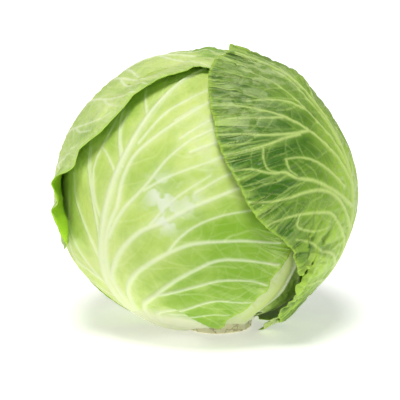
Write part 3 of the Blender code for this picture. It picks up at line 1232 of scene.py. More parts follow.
        def from_margin(plan: Points) -> tuple[Points, Points]:
            """Measure points of the plan against the margin.

            Args:
                plan: the points.

            Returns:
                Their distance from the margin and their place along it.
            """
            found = [net.margin.find((x, y, 0.0)) for x, y in plan]
            index = np.array([hit[1] for hit in found])
            slide = ((plan - outline[index]) * ahead[index]).sum(1)
            return np.array([hit[2] for hit in found]), index * self.edge_step + slide

        def lift_of(plan: Points) -> Points:
            """Lift at points of the plan."""
            return self.fold_lift(plan, from_margin(plan)[0])[0]

        guides = self.guides(form, net, lift_of)
        columns: dict[str, list[Points]] = {}
        points, faces, start = [], [], 0
        for side, plan in zip((1.0, -1.0), plans):
            margin, along = from_margin(plan)
            lift, bare = self.fold_lift(plan, margin)
            base, normal = self.lay(form, plan, lift)
            thick = self.rim_wall + (1.0 - self.rim_wall) * ease(0.0, self.rim_band, margin)
            points.append(base + normal * (side * 0.5 * self.wall * thick)[:, None])
            bearing = bearings(plan)
            loose = around(self.loose, bearing) * ease(self.loose_band, 0.0, margin)
            rows = {"plan": np.column_stack([plan, np.full(len(plan), self.seed * 13.0)]), "out": normal,
                    "margin": margin, "along": along, "thick": ease(-1.5, 3.0, margin), "loose": loose,
                    "folded": around(self.folded, bearing), "side": np.full(len(plan), side), "bare": bare,
                    "deep": sum_of(self.deep_patches, plan, self.deep),
                    "bloom": np.clip(sum_of(self.bloom_patches, plan, self.bloom), 0.0, 1.0)}
            for key, values in rows.items():
                columns.setdefault(key, []).append(values)
            step = 1 if side > 0.0 else -1
            faces += [tuple(v + start for v in face[::step]) for face in self.triangles(plan, count)]
            start += len(plan)
        rim = len(plans[0])
        turn = 1 if np.cross(outline, np.roll(outline, -1, 0)).sum() < 0.0 else -1
        for k in range(count):
            after = (k + 1) % count
            faces.append((k, after, rim + after, rim + k)[::turn])
        attributes = {key: np.concatenate(values) for key, values in columns.items()}
        sheet = mesh_object(self.name, np.vstack(points), faces, attributes)
        relief.apply(sheet, Guides=guides, Quilt_height=self.quilt * MM,
                     Wrinkle_height=self.wrinkle[0] * MM * 2.0, Wrinkle_length=self.wrinkle[1],
                     Ruffle_height=self.ruffle[0] * MM * 2.0, Ruffle_length=self.ruffle[1],
                     Seed=self.seed * 3.7, Floor=TABLE_GAP * MM, Finish=self.finish.material())
        bpy.data.objects.remove(guides, do_unlink=True)
        return sheet


@dataclass(frozen=True)
class FrontLeaf(WrapperLeaf):
    """The big pale leaf that fills the front, with a fan of whitish ribs from its thick stalk."""

    name: str = "front_leaf"
    slot: str = "pale_leaf"
    # a blade that was covered for long: yellowish, smooth and bright, with patches of whole wax and whitish
    # patches of painted highlight
    finish: LeafFinish = LeafFinish("pale_cabbage_leaf_satin", pale="D0E27C", green="84B02A",
                                    rib="ECF2D0", halo="DCE9A8", vein="DCEAA4", bloom="DDE6CC",
                                    inner="A9CC4E", margin="A9CE48", old_halo=0.1, rib_share=0.7,
                                    crinkle_pitch=6.0, crinkle_reach=50.0, crinkle_height=0.35)
    middle: Pair = (-12.0, -2.0)
    foot_azimuth: float = -42.0
    layer: float = 2.0
    outline: Line = (
        (0, 126), (26, 118), (47, 101), (64, 82), (76, 58), (80, 36), (80, 12), (78, -8), (71, -27),
        (62, -37), (60, -45), (54, -53), (47, -63), (39, -70), (34, -76), (32, -86), (24, -93),
        (17, -98), (12, -109), (-14, -112), (-26, -97), (-50, -86), (-88, -62), (-112, -40), (-125, -18),
        (-125, 14), (-117, 42), (-100, 70), (-77, 92), (-50, 108), (-25, 120))
    midrib: Line = (
        (0, -111), (-9, -102), (-24, -88), (-39, -70), (-46, -48), (-46, -25), (-43, 0), (-37, 33),
        (-27, 68), (-13, 98), (1, 117))
    midrib_half_widths: Pair = (7.0, 1.2)
    midrib_height: float = 2.4
    ribs: tuple[Rib, ...] = (
        Rib(((-44, -42), (-54, -24), (-64, -9), (-73, 4), (-79, 18)), (2.4, 1.0), 1.3),
        Rib(((-46, -22), (-50, -6), (-56, 10), (-64, 26), (-70, 42)), (2.2, 0.9), 1.2),
        Rib(((-40, -62), (-60, -46), (-76, -30), (-88, -12), (-96, 6)), (2.4, 0.9), 1.2),
        Rib(((-30, -80), (-37, -60), (-43, -42), (-43, -24), (-40, -8), (-35, 6), (-34, 22), (-30, 37),
             (-21, 49), (-10, 60), (3, 72), (16, 84)), (3.4, 0.9), 1.5),
        Rib(((-40, -14), (-31, 4), (-19, 20), (-8, 38), (3, 50), (14, 58)), (2.0, 0.8), 1.0),
        Rib(((-19, 18), (-8, 26), (3, 32), (16, 38), (34, 46)), (1.2, 0.7), 0.8),
        Rib(((-26, -84), (-36, -66), (-41, -46), (-37, -32), (-29, -18), (-18, -6), (-4, 2), (10, 11),
             (26, 19), (46, 29), (66, 40)), (3.2, 0.9), 1.5),
        Rib(((-14, -3), (-3, 12), (8, 22), (20, 31)), (1.3, 0.7), 0.8),
        Rib(((-21, -90), (-29, -74), (-31, -60), (-29, -47), (-22, -35), (-12, -25), (0, -16), (13, -10),
             (29, -8), (46, -8), (66, -11)), (3.0, 0.9), 1.5),
        Rib(((-2, -17), (6, -6), (16, 2), (30, 8), (50, 12)), (1.3, 0.7), 0.9),
        Rib(((-15, -92), (-21, -78), (-21, -64), (-10, -49), (2, -36), (14, -27), (28, -20), (46, -21),
             (67, -27)), (2.8, 0.9), 1.4),
        Rib(((-9, -49), (3, -44), (14, -39), (30, -34), (48, -36), (60, -42)), (1.8, 0.8), 1.1),
        Rib(((-9, -82), (-13, -72), (0, -63), (12, -57), (27, -51), (42, -54), (53, -57)), (2.2, 0.8), 1.1),
        Rib(((-4, -70), (8, -68), (22, -66), (36, -68)), (1.4, 0.7), 0.8),
        Rib(((-33, 44), (-32, 58), (-25, 72), (-17, 88), (-10, 102)), (1.5, 0.8), 0.9),
        Rib(((-29, 46), (-17, 68), (-2, 82), (10, 92)), (1.4, 0.7), 0.8),
        Rib(((-36, 30), (-44, 46), (-50, 62), (-54, 80)), (1.8, 0.8), 1.0),
        Rib(((-28, 64), (-37, 80), (-43, 94)), (1.5, 0.7), 0.9),
        Rib(((-51, -53), (-64, -50), (-78, -47), (-84, -36), (-83, -20), (-82, -8), (-83, 4)),
            (2.0, 0.9), 1.0),
        Rib(((-37, 35), (-42, 44), (-46, 55), (-46, 68)), (1.3, 0.7), 0.8),
        Rib(((-53, 4), (-59, 19), (-63, 28), (-67, 38)), (1.4, 0.7), 0.8),
        Rib(((-8, 64), (6, 76), (22, 86), (34, 92)), (1.0, 0.6), 0.6),
        Rib(((-2, 52), (12, 64), (28, 74), (44, 80)), (1.1, 0.6), 0.7),
        Rib(((8, 54), (22, 62), (38, 69), (56, 71)), (1.0, 0.6), 0.6),
        Rib(((6, 44), (24, 53), (42, 60), (62, 61)), (1.1, 0.6), 0.7),
        Rib(((20, 40), (38, 49), (54, 53), (70, 52)), (0.9, 0.6), 0.6),
        Rib(((12, 20), (30, 32), (48, 38), (66, 46)), (1.0, 0.6), 0.7),
    )
    fans: tuple[Fan, ...] = (Fan(-1, (0.12, 0.72), 6, (70.0, 38.0), half_widths=(2.0, 0.8)),)
    overlaps: tuple[Overlap, ...] = (
        Overlap(((-14, -64), (-6, -59), (2, -61), (8, -67), (14, -74), (20, -81), (26, -90), (27, -100)),
                1.8, 16.0, 1.0),)
    loose: Knots = ((0, 0.7), (60, 0.9), (95, 0.7), (112, 1.0), (155, 0.9), (168, 0.3), (190, 0.0),
                    (230, 0.2), (300, 0.3))
    loose_band: float = 14.0
    folded: Knots = ((6, 0.0), (20, 0.6), (45, 0.9), (70, 1.0), (95, 0.7), (112, 0.45), (150, 0.4),
                     (168, 0.0), (355, 0.0))
    deep: float = 0.36
    deep_patches: Patches = (
        Patch(42, -52, 40, 0.50), Patch(62, -4, 30, 0.60), Patch(10, -78, 24, 0.45),
        Patch(26, -6, 22, 0.40), Patch(24, 72, 40, -0.42), Patch(-46, -66, 32, -0.50),
        Patch(-12, 28, 16, 0.30), Patch(-62, 34, 20, 0.1), Patch(-60, 80, 24, 0.30),
        Patch(-50, -20, 12, -0.15), Patch(-4, -40, 22, 0.25), Patch(-78, 0, 30, -0.35))
    # painted highlight: whitish gloss patches where the light reflects off the blade's bulge
    bloom_patches: Patches = (
        Patch(-9, 18, 10, 1.0), Patch(-3, 3, 8, 1.0), Patch(10, 14, 7, 0.7), Patch(30, 74, 26, 0.35),
        Patch(20, 40, 16, 0.2))
    bare_patches: Patches = (
        Patch(-2, -112, 26, 1.8), Patch(4, -88, 15, 1.3), Patch(-22, -98, 18, 0.9),
        Patch(-32, -82, 16, 0.5))
    swells: Patches = (Patch(-94, -52, 26, 2.5),)
    spacing: float = 0.82
    teeth: float = 0.8
    quilt: float = 0.28
    wrinkle: Pair = (1.0, 4.0)
    ruffle: Pair = (0.9, 13.0)
    vein_pitch: Pair = (12.0, 8.0)
    vein_height: float = 0.35
    seed: int = 3


@dataclass(frozen=True)
class RightLeaf(WrapperLeaf):
    """The dark, waxy outermost leaf on the right, with a crinkled margin and a torn lower corner."""

    name: str = "right_leaf"
    slot: str = "waxy_leaf"
    # an old outer blade: deep green, greyed and dulled where its wax is whole, and paler where a highlight
    # is painted at its upper left and along its top rim
    finish: LeafFinish = LeafFinish("dark_cabbage_leaf_waxy", pale="ACD04C", green="3E6C12", rib="CAE082",
                                    halo="90B842", vein="BEDA74", bloom="CCDC9E", inner="A5CB57",
                                    bare="C3D090", margin="A9CC4C", halo_share=0.5, old_halo=0.45,
                                    vein_share=0.6, margin_width=1.2, mottle_size=18.0, roughness=0.38,
                                    crest_shading_share=0.42, crinkle_pitch=6.5, crinkle_reach=56.0,
                                    crinkle_highlight_share=0.55, crinkle_height=0.9, crinkle_width=0.09,
                                    translucence=0.15)
    middle: Pair = (84.0, 8.0)
    foot_azimuth: float = 120.0
    layer: float = 4.6
    outline: Line = (
        (0, 114), (30, 109), (58, 97), (82, 76), (97, 54), (106, 28), (106, 0), (99, -27), (85, -50),
        (68, -70), (50, -88), (31, -103), (16, -120), (-15, -122), (-29, -105), (-45, -94), (-58, -86),
        (-67, -77), (-73, -73), (-78, -65), (-74, -55), (-79, -44), (-76, -37), (-71, -30), (-67, -20),
        (-70, -27), (-77, -35), (-80, -30), (-83, -22), (-84, -15), (-89, -7), (-95, 2), (-101, 13),
        (-104, 27), (-103, 42), (-101, 54), (-97, 68), (-88, 83), (-72, 99), (-54, 111), (-38, 117),
        (-20, 119))
    midrib: Line = (
        (0, -121), (-8, -102), (-19, -76), (-30, -48), (-29, -18), (-21, 10), (-12, 36), (-5, 62),
        (1, 88), (4, 108))
    midrib_half_widths: Pair = (6.5, 1.2)
    ribs: tuple[Rib, ...] = (
        Rib(((-19, 16), (-14, 40), (-13, 58), (-6, 74), (-3, 92), (1, 108)), (2.4, 0.9), 1.5),
        Rib(((-22, 10), (-24, 30), (-27, 50), (-25, 68), (-23, 84), (-23, 100)), (2.4, 0.8), 1.5),
        Rib(((-27, 55), (-33, 66), (-43, 76), (-55, 85)), (1.6, 0.8), 1.2),
        Rib(((-24, 2), (-31, 22), (-40, 44), (-48, 62), (-58, 79), (-66, 92), (-72, 98)), (2.4, 0.8), 1.6),
        Rib(((-50, 63), (-62, 72), (-76, 84)), (1.3, 0.7), 1.0),
        Rib(((-42, 47), (-54, 52), (-69, 61), (-80, 71), (-90, 79)), (1.6, 0.8), 1.2),
        Rib(((-50, 49), (-62, 53), (-75, 56), (-88, 60), (-98, 64)), (1.6, 0.8), 1.2),
        Rib(((-28, -10), (-38, -1), (-50, 11), (-61, 22), (-71, 29), (-75, 35), (-84, 40), (-92, 48),
             (-101, 52)), (2.4, 0.8), 1.5),
        Rib(((-76, 56), (-81, 50), (-83, 42), (-76, 35)), (1.0, 0.8), 1.0),
        Rib(((-36, 6), (-45, 20), (-52, 30), (-61, 38), (-70, 42)), (1.8, 0.8), 1.2),
        Rib(((-70, 42), (-72, 36), (-70, 30)), (1.0, 0.8), 0.9),
        Rib(((-30, -24), (-38, -10), (-46, 3), (-56, 13), (-68, 18), (-80, 20), (-92, 23), (-103, 28)),
            (2.4, 0.8), 1.5),
        Rib(((-31, -38), (-36, -28), (-45, -16), (-54, -3), (-65, 3), (-77, 7), (-90, 9), (-99, 8)),
            (2.2, 0.8), 1.4),
        Rib(((-77, 7), (-80, 1), (-77, -3), (-68, -8), (-56, -10)), (1.2, 0.8), 1.0),
        Rib(((-30, -52), (-40, -40), (-51, -30), (-62, -24), (-72, -14), (-82, -8)), (2.2, 0.8), 1.3),
        Rib(((-26, -66), (-38, -58), (-50, -52), (-62, -50), (-74, -52)), (2.0, 0.8), 1.2),
    )
    fans: tuple[Fan, ...] = (
        Fan(1, (0.12, 0.86), 8, (66.0, 36.0), half_widths=(2.2, 0.8), height=1.4),)
    creases: tuple[Crease, ...] = (
        Crease(((-71, -12), (-76, -20), (-80, -30)), 4.0, 2.4),
        Crease(((-64, -20), (-68, -30), (-73, -42), (-76, -54)), 5.0, 2.2),
        Crease(((-58, -30), (-62, -42), (-66, -56), (-70, -68)), 3.0, -1.4))
    flare: Knots = ((0, 1.0), (60, 1.5), (120, 1.5), (180, 0.0), (205, 1.0), (222, 2.0), (240, 2.0),
                    (256, 0.8), (285, 0.8), (320, 0.8), (345, 1.0))
    flare_band: Knots = ((0, 20.0), (222, 22.0), (270, 10.0), (320, 10.0))
    loose: Knots = ((0, 0.9), (90, 1.0), (150, 0.6), (180, 0.0), (202, 0.5), (222, 1.0), (270, 0.8),
                    (320, 0.8))
    loose_band: float = 34.0
    folded: Knots = ((0, 0.7), (90, 0.4), (150, 0.2), (200, 0.05), (246, 0.1), (262, 0.5), (290, 0.75),
                     (315, 1.0), (340, 1.0))
    deep: float = 0.70
    deep_patches: Patches = (
        Patch(-76, 42, 26, 0.34), Patch(-60, 62, 22, 0.30), Patch(-18, 14, 24, -0.60),
        Patch(-46, -34, 28, -0.5), Patch(-68, -44, 18, -0.35), Patch(-20, -14, 32, -0.5),
        Patch(-98, 45, 6, -0.2), Patch(-50, 92, 26, 0.2), Patch(-78, 97, 12, -0.2),
        Patch(10, 60, 30, -0.1), Patch(-66, 4, 16, -0.1))
    # wax bloom, and painted highlight at the upper left and along the top rim
    bloom_patches: Patches = (
        Patch(-58, 88, 24, 0.32), Patch(-28, 96, 20, 0.26), Patch(-76, 74, 10, 0.25),
        Patch(-10, -4, 18, 0.25), Patch(-48, -46, 18, 0.20), Patch(30, 40, 40, 0.2),
        Patch(-6, 86, 18, 0.45))
    swells: Patches = (
        Patch(2, 34, 34, -2.6), Patch(12, 68, 13, 3.0), Patch(-8, -70, 46, -6.0), Patch(-58, -72, 20, -1.5))
    spacing: float = 0.82
    teeth: float = 0.65
    tooth_pitch: float = 2.0
    quilt: float = 0.9
    wrinkle: Pair = (2.4, 3.4)
    ruffle: Pair = (1.3, 12.0)
    vein_pitch: Pair = (10.0, 6.5)
    vein_height: float = 0.65
    seed: int = 5


@dataclass(frozen=True)
class BackLeaf(WrapperLeaf):
    """The leaf that comes from behind over the upper left; its margin stands off the head."""

    name: str = "back_leaf"
    slot: str = "whitish_leaf"
    # a blade with a thin even bloom, so its greens look milky; its inner side is painted bright green, a
    # painted glow for light that comes through
    finish: LeafFinish = LeafFinish("cabbage_leaf_wax_bloom", pale="D6E88C", green="78A824", rib="F0F7D0",
                                    halo="D4E698", vein="E2F0B4", bloom="D8E8AC", inner="AEDC38",
                                    margin="B4D860", halo_share=0.5, vein_share=0.85,
                                    crinkle_pitch=7.0, crinkle_reach=40.0, crinkle_highlight_share=0.3)
    middle: Pair = (-118.0, 18.0)
    foot_azimuth: float = -122.0
    layer: float = 3.2
    outline: Line = (
        (-6, 136), (14, 145), (29, 138), (38, 125), (46, 118), (58, 105), (67, 91), (74, 79), (83, 70),
        (88, 60), (92, 47), (91, 30), (96, 18), (91, 8), (88, 2), (93, -1), (101, -4), (97, -11),
        (102, -15), (104, -22), (107, -30), (99, -38), (84, -44), (71, -52), (58, -66), (50, -84),
        (42, -106), (32, -130), (18, -146), (-18, -148), (-36, -122), (-62, -92), (-82, -66), (-95, -44),
        (-104, -22), (-106, 0), (-103, 28), (-94, 54), (-76, 82), (-48, 104), (-24, 124))
    midrib: Line = (
        (0, -147), (2, -120), (3, -90), (0, -55), (-3, -20), (-3, 15), (1, 50), (4, 80), (5, 112))
    ribs: tuple[Rib, ...] = (
        Rib(((1, 30), (14, 48), (30, 64), (44, 82), (52, 96)), (2.0, 0.8), 1.1),
        Rib(((30, 64), (44, 70), (56, 82), (66, 90)), (1.3, 0.7), 0.9),
        Rib(((-2, 6), (16, 24), (34, 38), (52, 54), (66, 70), (72, 82)), (2.0, 0.8), 1.2),
        Rib(((52, 54), (64, 58), (76, 66)), (1.2, 0.7), 0.9),
        Rib(((-2, -18), (18, -4), (38, 12), (58, 28), (74, 46), (80, 60)), (2.0, 0.8), 1.2),
        Rib(((58, 28), (70, 32), (82, 42)), (1.2, 0.7), 0.9),
        Rib(((0, -44), (20, -30), (40, -16), (60, 0), (74, 16), (82, 28)), (2.0, 0.8), 1.2),
        Rib(((60, 0), (72, 2), (84, 8)), (1.2, 0.7), 0.8),
    )
    fans: tuple[Fan, ...] = (
        Fan(-1, (0.1, 0.85), 8, (66.0, 36.0)),
        Fan(1, (0.1, 0.3), 3, (64.0, 56.0)),
        Fan(1, (0.78, 0.9), 2, (40.0, 34.0)))
    creases: tuple[Crease, ...] = (
        Crease(((62, 88), (70, 78), (76, 66)), 4.0, 1.2),
        Crease(((66, 66), (74, 56), (80, 44)), 4.0, -1.0),
        Crease(((70, 24), (78, 22), (86, 18)), 5.0, 1.6),
        Crease(((68, 10), (78, 8), (88, 4)), 4.0, -1.4))
    flare: Knots = ((0, 0.0), (12, 0.5), (20, 3.5), (34, 5.0), (55, 6.0), (76, 7.0), (86, 12.0),
                    (98, 14.0), (107, 12.0), (114, 5.0), (124, 0.5), (160, 0.0), (200, 0.0), (240, 1.5),
                    (300, 1.5), (345, 1.0))
    flare_band: Knots = ((0, 30.0), (60, 27.0), (80, 24.0), (90, 16.0), (107, 14.0), (140, 24.0),
                         (200, 30.0))
    flare_power: Knots = ((0, 1.6), (60, 1.5), (84, 1.6), (96, 1.35), (125, 1.35), (150, 2.0))
    loose: Knots = ((0, 1.0), (20, 0.7), (60, 0.35), (84, 0.6), (92, 0.9), (118, 0.9), (130, 0.2),
                    (180, 0.0), (215, 0.5), (300, 0.9), (340, 1.4))
    loose_band: float = 17.0
    deep: float = 0.34
    folded: Knots = ((0, 0.8), (90, 0.5))
    deep_patches: Patches = (
        Patch(52, 90, 8, -0.35), Patch(66, 60, 9, -0.3), Patch(18, 112, 22, -0.35),
        Patch(78, 40, 7, 0.35), Patch(64, 92, 6, 0.4), Patch(62, 82, 12, 0.20), Patch(74, 30, 12, 0.25),
        Patch(40, 108, 14, 0.1), Patch(88, 6, 10, 0.25), Patch(70, -64, 26, -0.5),
        Patch(-18, 114, 13, 0.9), Patch(2, 122, 8, 0.6), Patch(-40, 0, 50, 0.25),
        Patch(10, -60, 40, 0.1))
    bloom: float = 0.10
    bloom_patches: Patches = (Patch(66, 46, 26, 0.2), Patch(48, 92, 20, 0.1))
    swells: Patches = (
        Patch(47, 70, 14, -2.4), Patch(36, 86, 14, -2.8), Patch(24, 100, 14, -2.6),
        Patch(8, 112, 12, -1.5), Patch(60, 80, 6, 1.0), Patch(72, 52, 7, 1.0), Patch(44, 82, 5, 0.8),
        Patch(-20, 110, 7, 2.4), Patch(-8, 114, 5, 1.8), Patch(62, -66, 22, -1.6))
    spacing: float = 1.0
    edge_step: float = 0.9
    teeth: float = 0.9
    quilt: float = 0.7
    wrinkle: Pair = (0.8, 5.0)
    ruffle: Pair = (2.2, 15.0)
    vein_pitch: Pair = (9.0, 5.5)
    vein_height: float = 0.4
    seed: int = 8


@dataclass(frozen=True)
class RearLeaf(WrapperLeaf):
    """The wrapper leaf that closes the hidden back."""

    name: str = "rear_leaf"
    slot: str = "green_leaf"
    # a plain blade: mid green, satin, its veins little paler than itself
    finish: LeafFinish = LeafFinish("green_cabbage_leaf_satin", pale="B9D274", green="7FA93C", rib="DCE8B0",
                                    halo="BBD380", vein="BED585", bloom="BFD5B2")
    middle: Pair = (172.0, 0.0)
    foot_azimuth: float = 178.0
    layer: float = 1.0
    outline: Line = (
        (0, 138), (35, 124), (68, 98), (90, 66), (102, 30), (104, 0), (96, -34), (80, -58), (62, -74),
        (45, -84), (26, -96), (13, -112), (-13, -113), (-27, -96), (-46, -82), (-70, -66), (-92, -42),
        (-103, -12), (-104, 14), (-102, 40), (-92, 70), (-72, 98), (-38, 126))
    midrib: Line = ((0, -112), (2, -80), (0, -40), (-3, 0), (-2, 50), (2, 95), (3, 130))
    fans: tuple[Fan, ...] = (Fan(1, (0.1, 0.86), 9, (66.0, 34.0)), Fan(-1, (0.12, 0.88), 9, (66.0, 34.0)))
    deep: float = 0.45
    bloom: float = 0.25
    loose: Knots = ((0, 0.6), (150, 0.5), (180, 0.0), (210, 0.5))
    spacing: float = 1.15
    edge_step: float = 1.0
    ruffle: Pair = (0.8, 14.0)
    wrinkle: Pair = (0.3, 4.0)
    seed: int = 13


@dataclass(frozen=True)
class RibLeaf(WrapperLeaf):
    """The older leaf under the front one, of which its thick pale rib and whitish edges show."""

    name: str = "rib_leaf"
    slot: str = "rib_leaf"
    # mostly stalk: firm, smooth and almost white at its thin edges
    finish: LeafFinish = LeafFinish("pale_leaf_stalk_satin", pale="D3DEA8", green="B3CC6A", rib="C3D47C",
                                    halo="D9E2B6", vein="DDE6BC", bloom="E3E8CF", inner="BBD06C",
                                    margin="EDF2D6", halo_share=0.5, vein_share=0.3, margin_width=1.3)
    middle: Pair = (8.0, -28.0)
    foot_azimuth: float = 38.0
    layer: float = 1.0
    outline: Line = (
        (0, 50), (20, 54), (38, 44), (53, 26), (54, 8), (50, -9), (41, -20), (31, -30), (18, -38),
        (10, -46), (8, -57), (-8, -59), (-13, -46), (-25, -26), (-38, -6), (-40, 14), (-32, 34),
        (-18, 46))
    midrib: Line = (
        (0, -63), (3, -50), (11, -38), (23, -29), (34, -19), (43, -8), (47, 8), (44, 26))
    midrib_half_widths: Pair = (4.6, 2.6)
    midrib_height: float = 1.9
    fans: tuple[Fan, ...] = (Fan(-1, (0.3, 0.9), 4, (60.0, 40.0), half_widths=(1.4, 0.7), height=0.8),)
    flare: Knots = ((0, 0.0), (60, 0.6), (90, 1.6), (130, 1.6), (160, 0.4), (200, 0.0))
    flare_band: Knots = ((0, 8.0),)
    loose: Knots = ((0, 0.5), (110, 0.35), (150, 0.2), (180, 0.0), (230, 0.6), (300, 1.0))
    loose_band: float = 8.0
    folded: Knots = ((0, 0.0),)
    deep: float = 0.4
    bare_patches: Patches = (Patch(0, -62, 16, 0.9),)
    spacing: float = 0.75
    edge_step: float = 0.7
    teeth: float = 0.35
    vein_height: float = 0.25
    wrinkle: Pair = (0.3, 4.0)
    ruffle: Pair = (0.5, 10.0)
    seed: int = 17


@dataclass(frozen=True)
class LowerRightLeaf(WrapperLeaf):
    """The darker leaf seen in the gap beside the pale rib."""

    name: str = "lower_right_leaf"
    slot: str = "green_leaf"
    # a shaded blade: even mid green under a clear net of paler veins
    finish: LeafFinish = LeafFinish("mid_green_cabbage_leaf_satin", pale="C2DC74", green="7FA83A",
                                    rib="E4EEBC", halo="C2DA82", vein="CBE08E", bloom="C2D8A0",
                                    margin="D2E698", vein_share=0.8)
    middle: Pair = (50.0, -32.0)
    foot_azimuth: float = 78.0
    layer: float = 0.0
    outline: Line = (
        (0, 46), (22, 40), (38, 20), (40, 0), (34, -16), (22, -28), (12, -36), (8, -62), (-8, -62),
        (-14, -34), (-27, -22), (-36, 0), (-34, 24), (-18, 42))
    midrib: Line = ((0, -62), (1, -40), (3, -20), (0, 0), (-4, 20), (-6, 38))
    midrib_half_widths: Pair = (2.6, 1.0)
    midrib_height: float = 1.5
    fans: tuple[Fan, ...] = (Fan(1, (0.35, 0.85), 4, (55.0, 36.0)), Fan(-1, (0.35, 0.85), 4, (55.0, 36.0)))
    swells: Patches = (Patch(-4, -8, 26, 1.6),)
    deep: float = 0.45
    quilt: float = 0.6
    loose: Knots = ((0, 0.8), (180, 0.2))
    seed: int = 19


@dataclass(frozen=True)
class TornStub(WrapperLeaf):
    """The torn remains of an outer leaf beside the stem: a short pointed shred."""

    name: str = "torn_stub"
    slot: str = "green_leaf"
    # thin torn blade, painted the brightest green: painted light for light through it and on it, as it
    # hangs facing down into shade
    finish: LeafFinish = LeafFinish("torn_green_leaf_satin", pale="E2F498", green="B2DA5C", rib="E8EED0",
                                    halo="D2E492", vein="CFE292", margin="DCEAA4", margin_width=0.6)
    middle: Pair = (62.0, -57.0)
    foot_azimuth: float = 66.0
    layer: float = 2.0
    outline: Line = (
        (1, 19), (6, 14), (9, 6), (7, -2), (5, -8), (4, -14), (-4, -14), (-6, -8), (-9, -1), (-7, 3),
        (-11, 9), (-6, 10), (-5, 16))
    midrib: Line = ((0, -13), (-1, -4), (-2, 4), (-1, 14))
    midrib_half_widths: Pair = (1.3, 0.6)
    midrib_height: float = 0.8
    flare: Knots = ((0, 1.5), (90, 1.5), (140, 5.0), (180, 7.0), (220, 5.5), (270, 1.5))
    flare_band: Knots = ((0, 10.0), (140, 17.0), (220, 17.0))
    flare_power: Knots = ((0, 1.4),)
    loose: Knots = ((0, 1.0), (180, 0.0))
    loose_band: float = 4.0
    swells: Patches = (Patch(0, 6, 12, 1.2),)
    deep: float = 0.35
    spacing: float = 0.5
    inner_spacing: float = 1.0
    edge_step: float = 0.5
    teeth: float = 0.5
    tooth_pitch: float = 1.6
    vein_pitch: Pair = (3.0, 2.0)
    vein_height: float = 0.2
    wrinkle: Pair = (0.3, 2.5)
    ruffle: Pair = (0.8, 6.0)
    seed: int = 23


@dataclass(frozen=True)
class CutStemFinish:
    """Cut cabbage stem, sliced and dried: cream, matt and fibrous, with brown healed scars.

    Its fibres run up the stem and catch the light as faint stripes; the scars wander over them.
    """

    name: str = "cut_stem_cream_matt"
    # the cream and its fibre tone are painted light: brightened so the stump looks lit, though it stands in
    # the head's shade
    cream: str = "FFFBDC"
    shade: str = "F4F0BE"
    scar: str = "94803C"
    fibre: float = 1.6          # mm, width of a fibre bundle, drawn coarser than life
    scars: float = 90.0         # in a metre, so about 11 mm from one to the next
    scar_share: float = 0.55
    roughness: float = 0.62

    def material(self) -> bpy.types.Material:
        """Build the material.

        Returns:
            The material.
        """
        made, tree, shader = new_material(self.name)
        place = add_node(tree, "ShaderNodeTexCoord").outputs["Object"]
        stretched = add_node(tree, "ShaderNodeMapping", None, {"Scale": (1.0, 1.0, 0.35)},
                             {"Vector": place}).outputs[0]
        fibres = add_node(tree, NOISE, None,
                          {"Scale": 1.0 / (self.fibre * MM), "Detail": 4.0, "Roughness": 0.6},
                          {"Vector": stretched}).outputs[0]
        base = add_node(tree, "ShaderNodeMix", {"data_type": "RGBA"},
                        {6: linear(self.cream), 7: linear(self.shade)}, {0: fibres}).outputs[2]
        wander = add_node(tree, NOISE, None, {"Scale": self.scars, "Detail": 3.0, "Roughness": 0.6},
                          {"Vector": place}).outputs[0]
        ridge = add_node(tree, MATH, {"operation": "SUBTRACT"}, {1: 0.5}, {0: wander}).outputs[0]
        line = add_node(tree, MATH, {"operation": "ABSOLUTE"}, None, {0: ridge}).outputs[0]
        scar = add_node(tree, MAP_RANGE, SMOOTH,
                        {"From Min": 0.028, "From Max": 0.004, "To Max": self.scar_share},
                        {"Value": line}).outputs[0]
        colour = add_node(tree, "ShaderNodeMix", {"data_type": "RGBA"}, {7: linear(self.scar)},
                          {0: scar, 6: base}).outputs[2]
        tree.links.new(colour, shader.inputs["Base Color"])
        bump = add_node(tree, "ShaderNodeBump", None, {"Strength": 0.6, "Distance": 0.0005},
                        {"Height": fibres}).outputs[0]
        tree.links.new(bump, shader.inputs["Normal"])
        set_inputs(shader, {"Roughness": self.roughness})
        return made


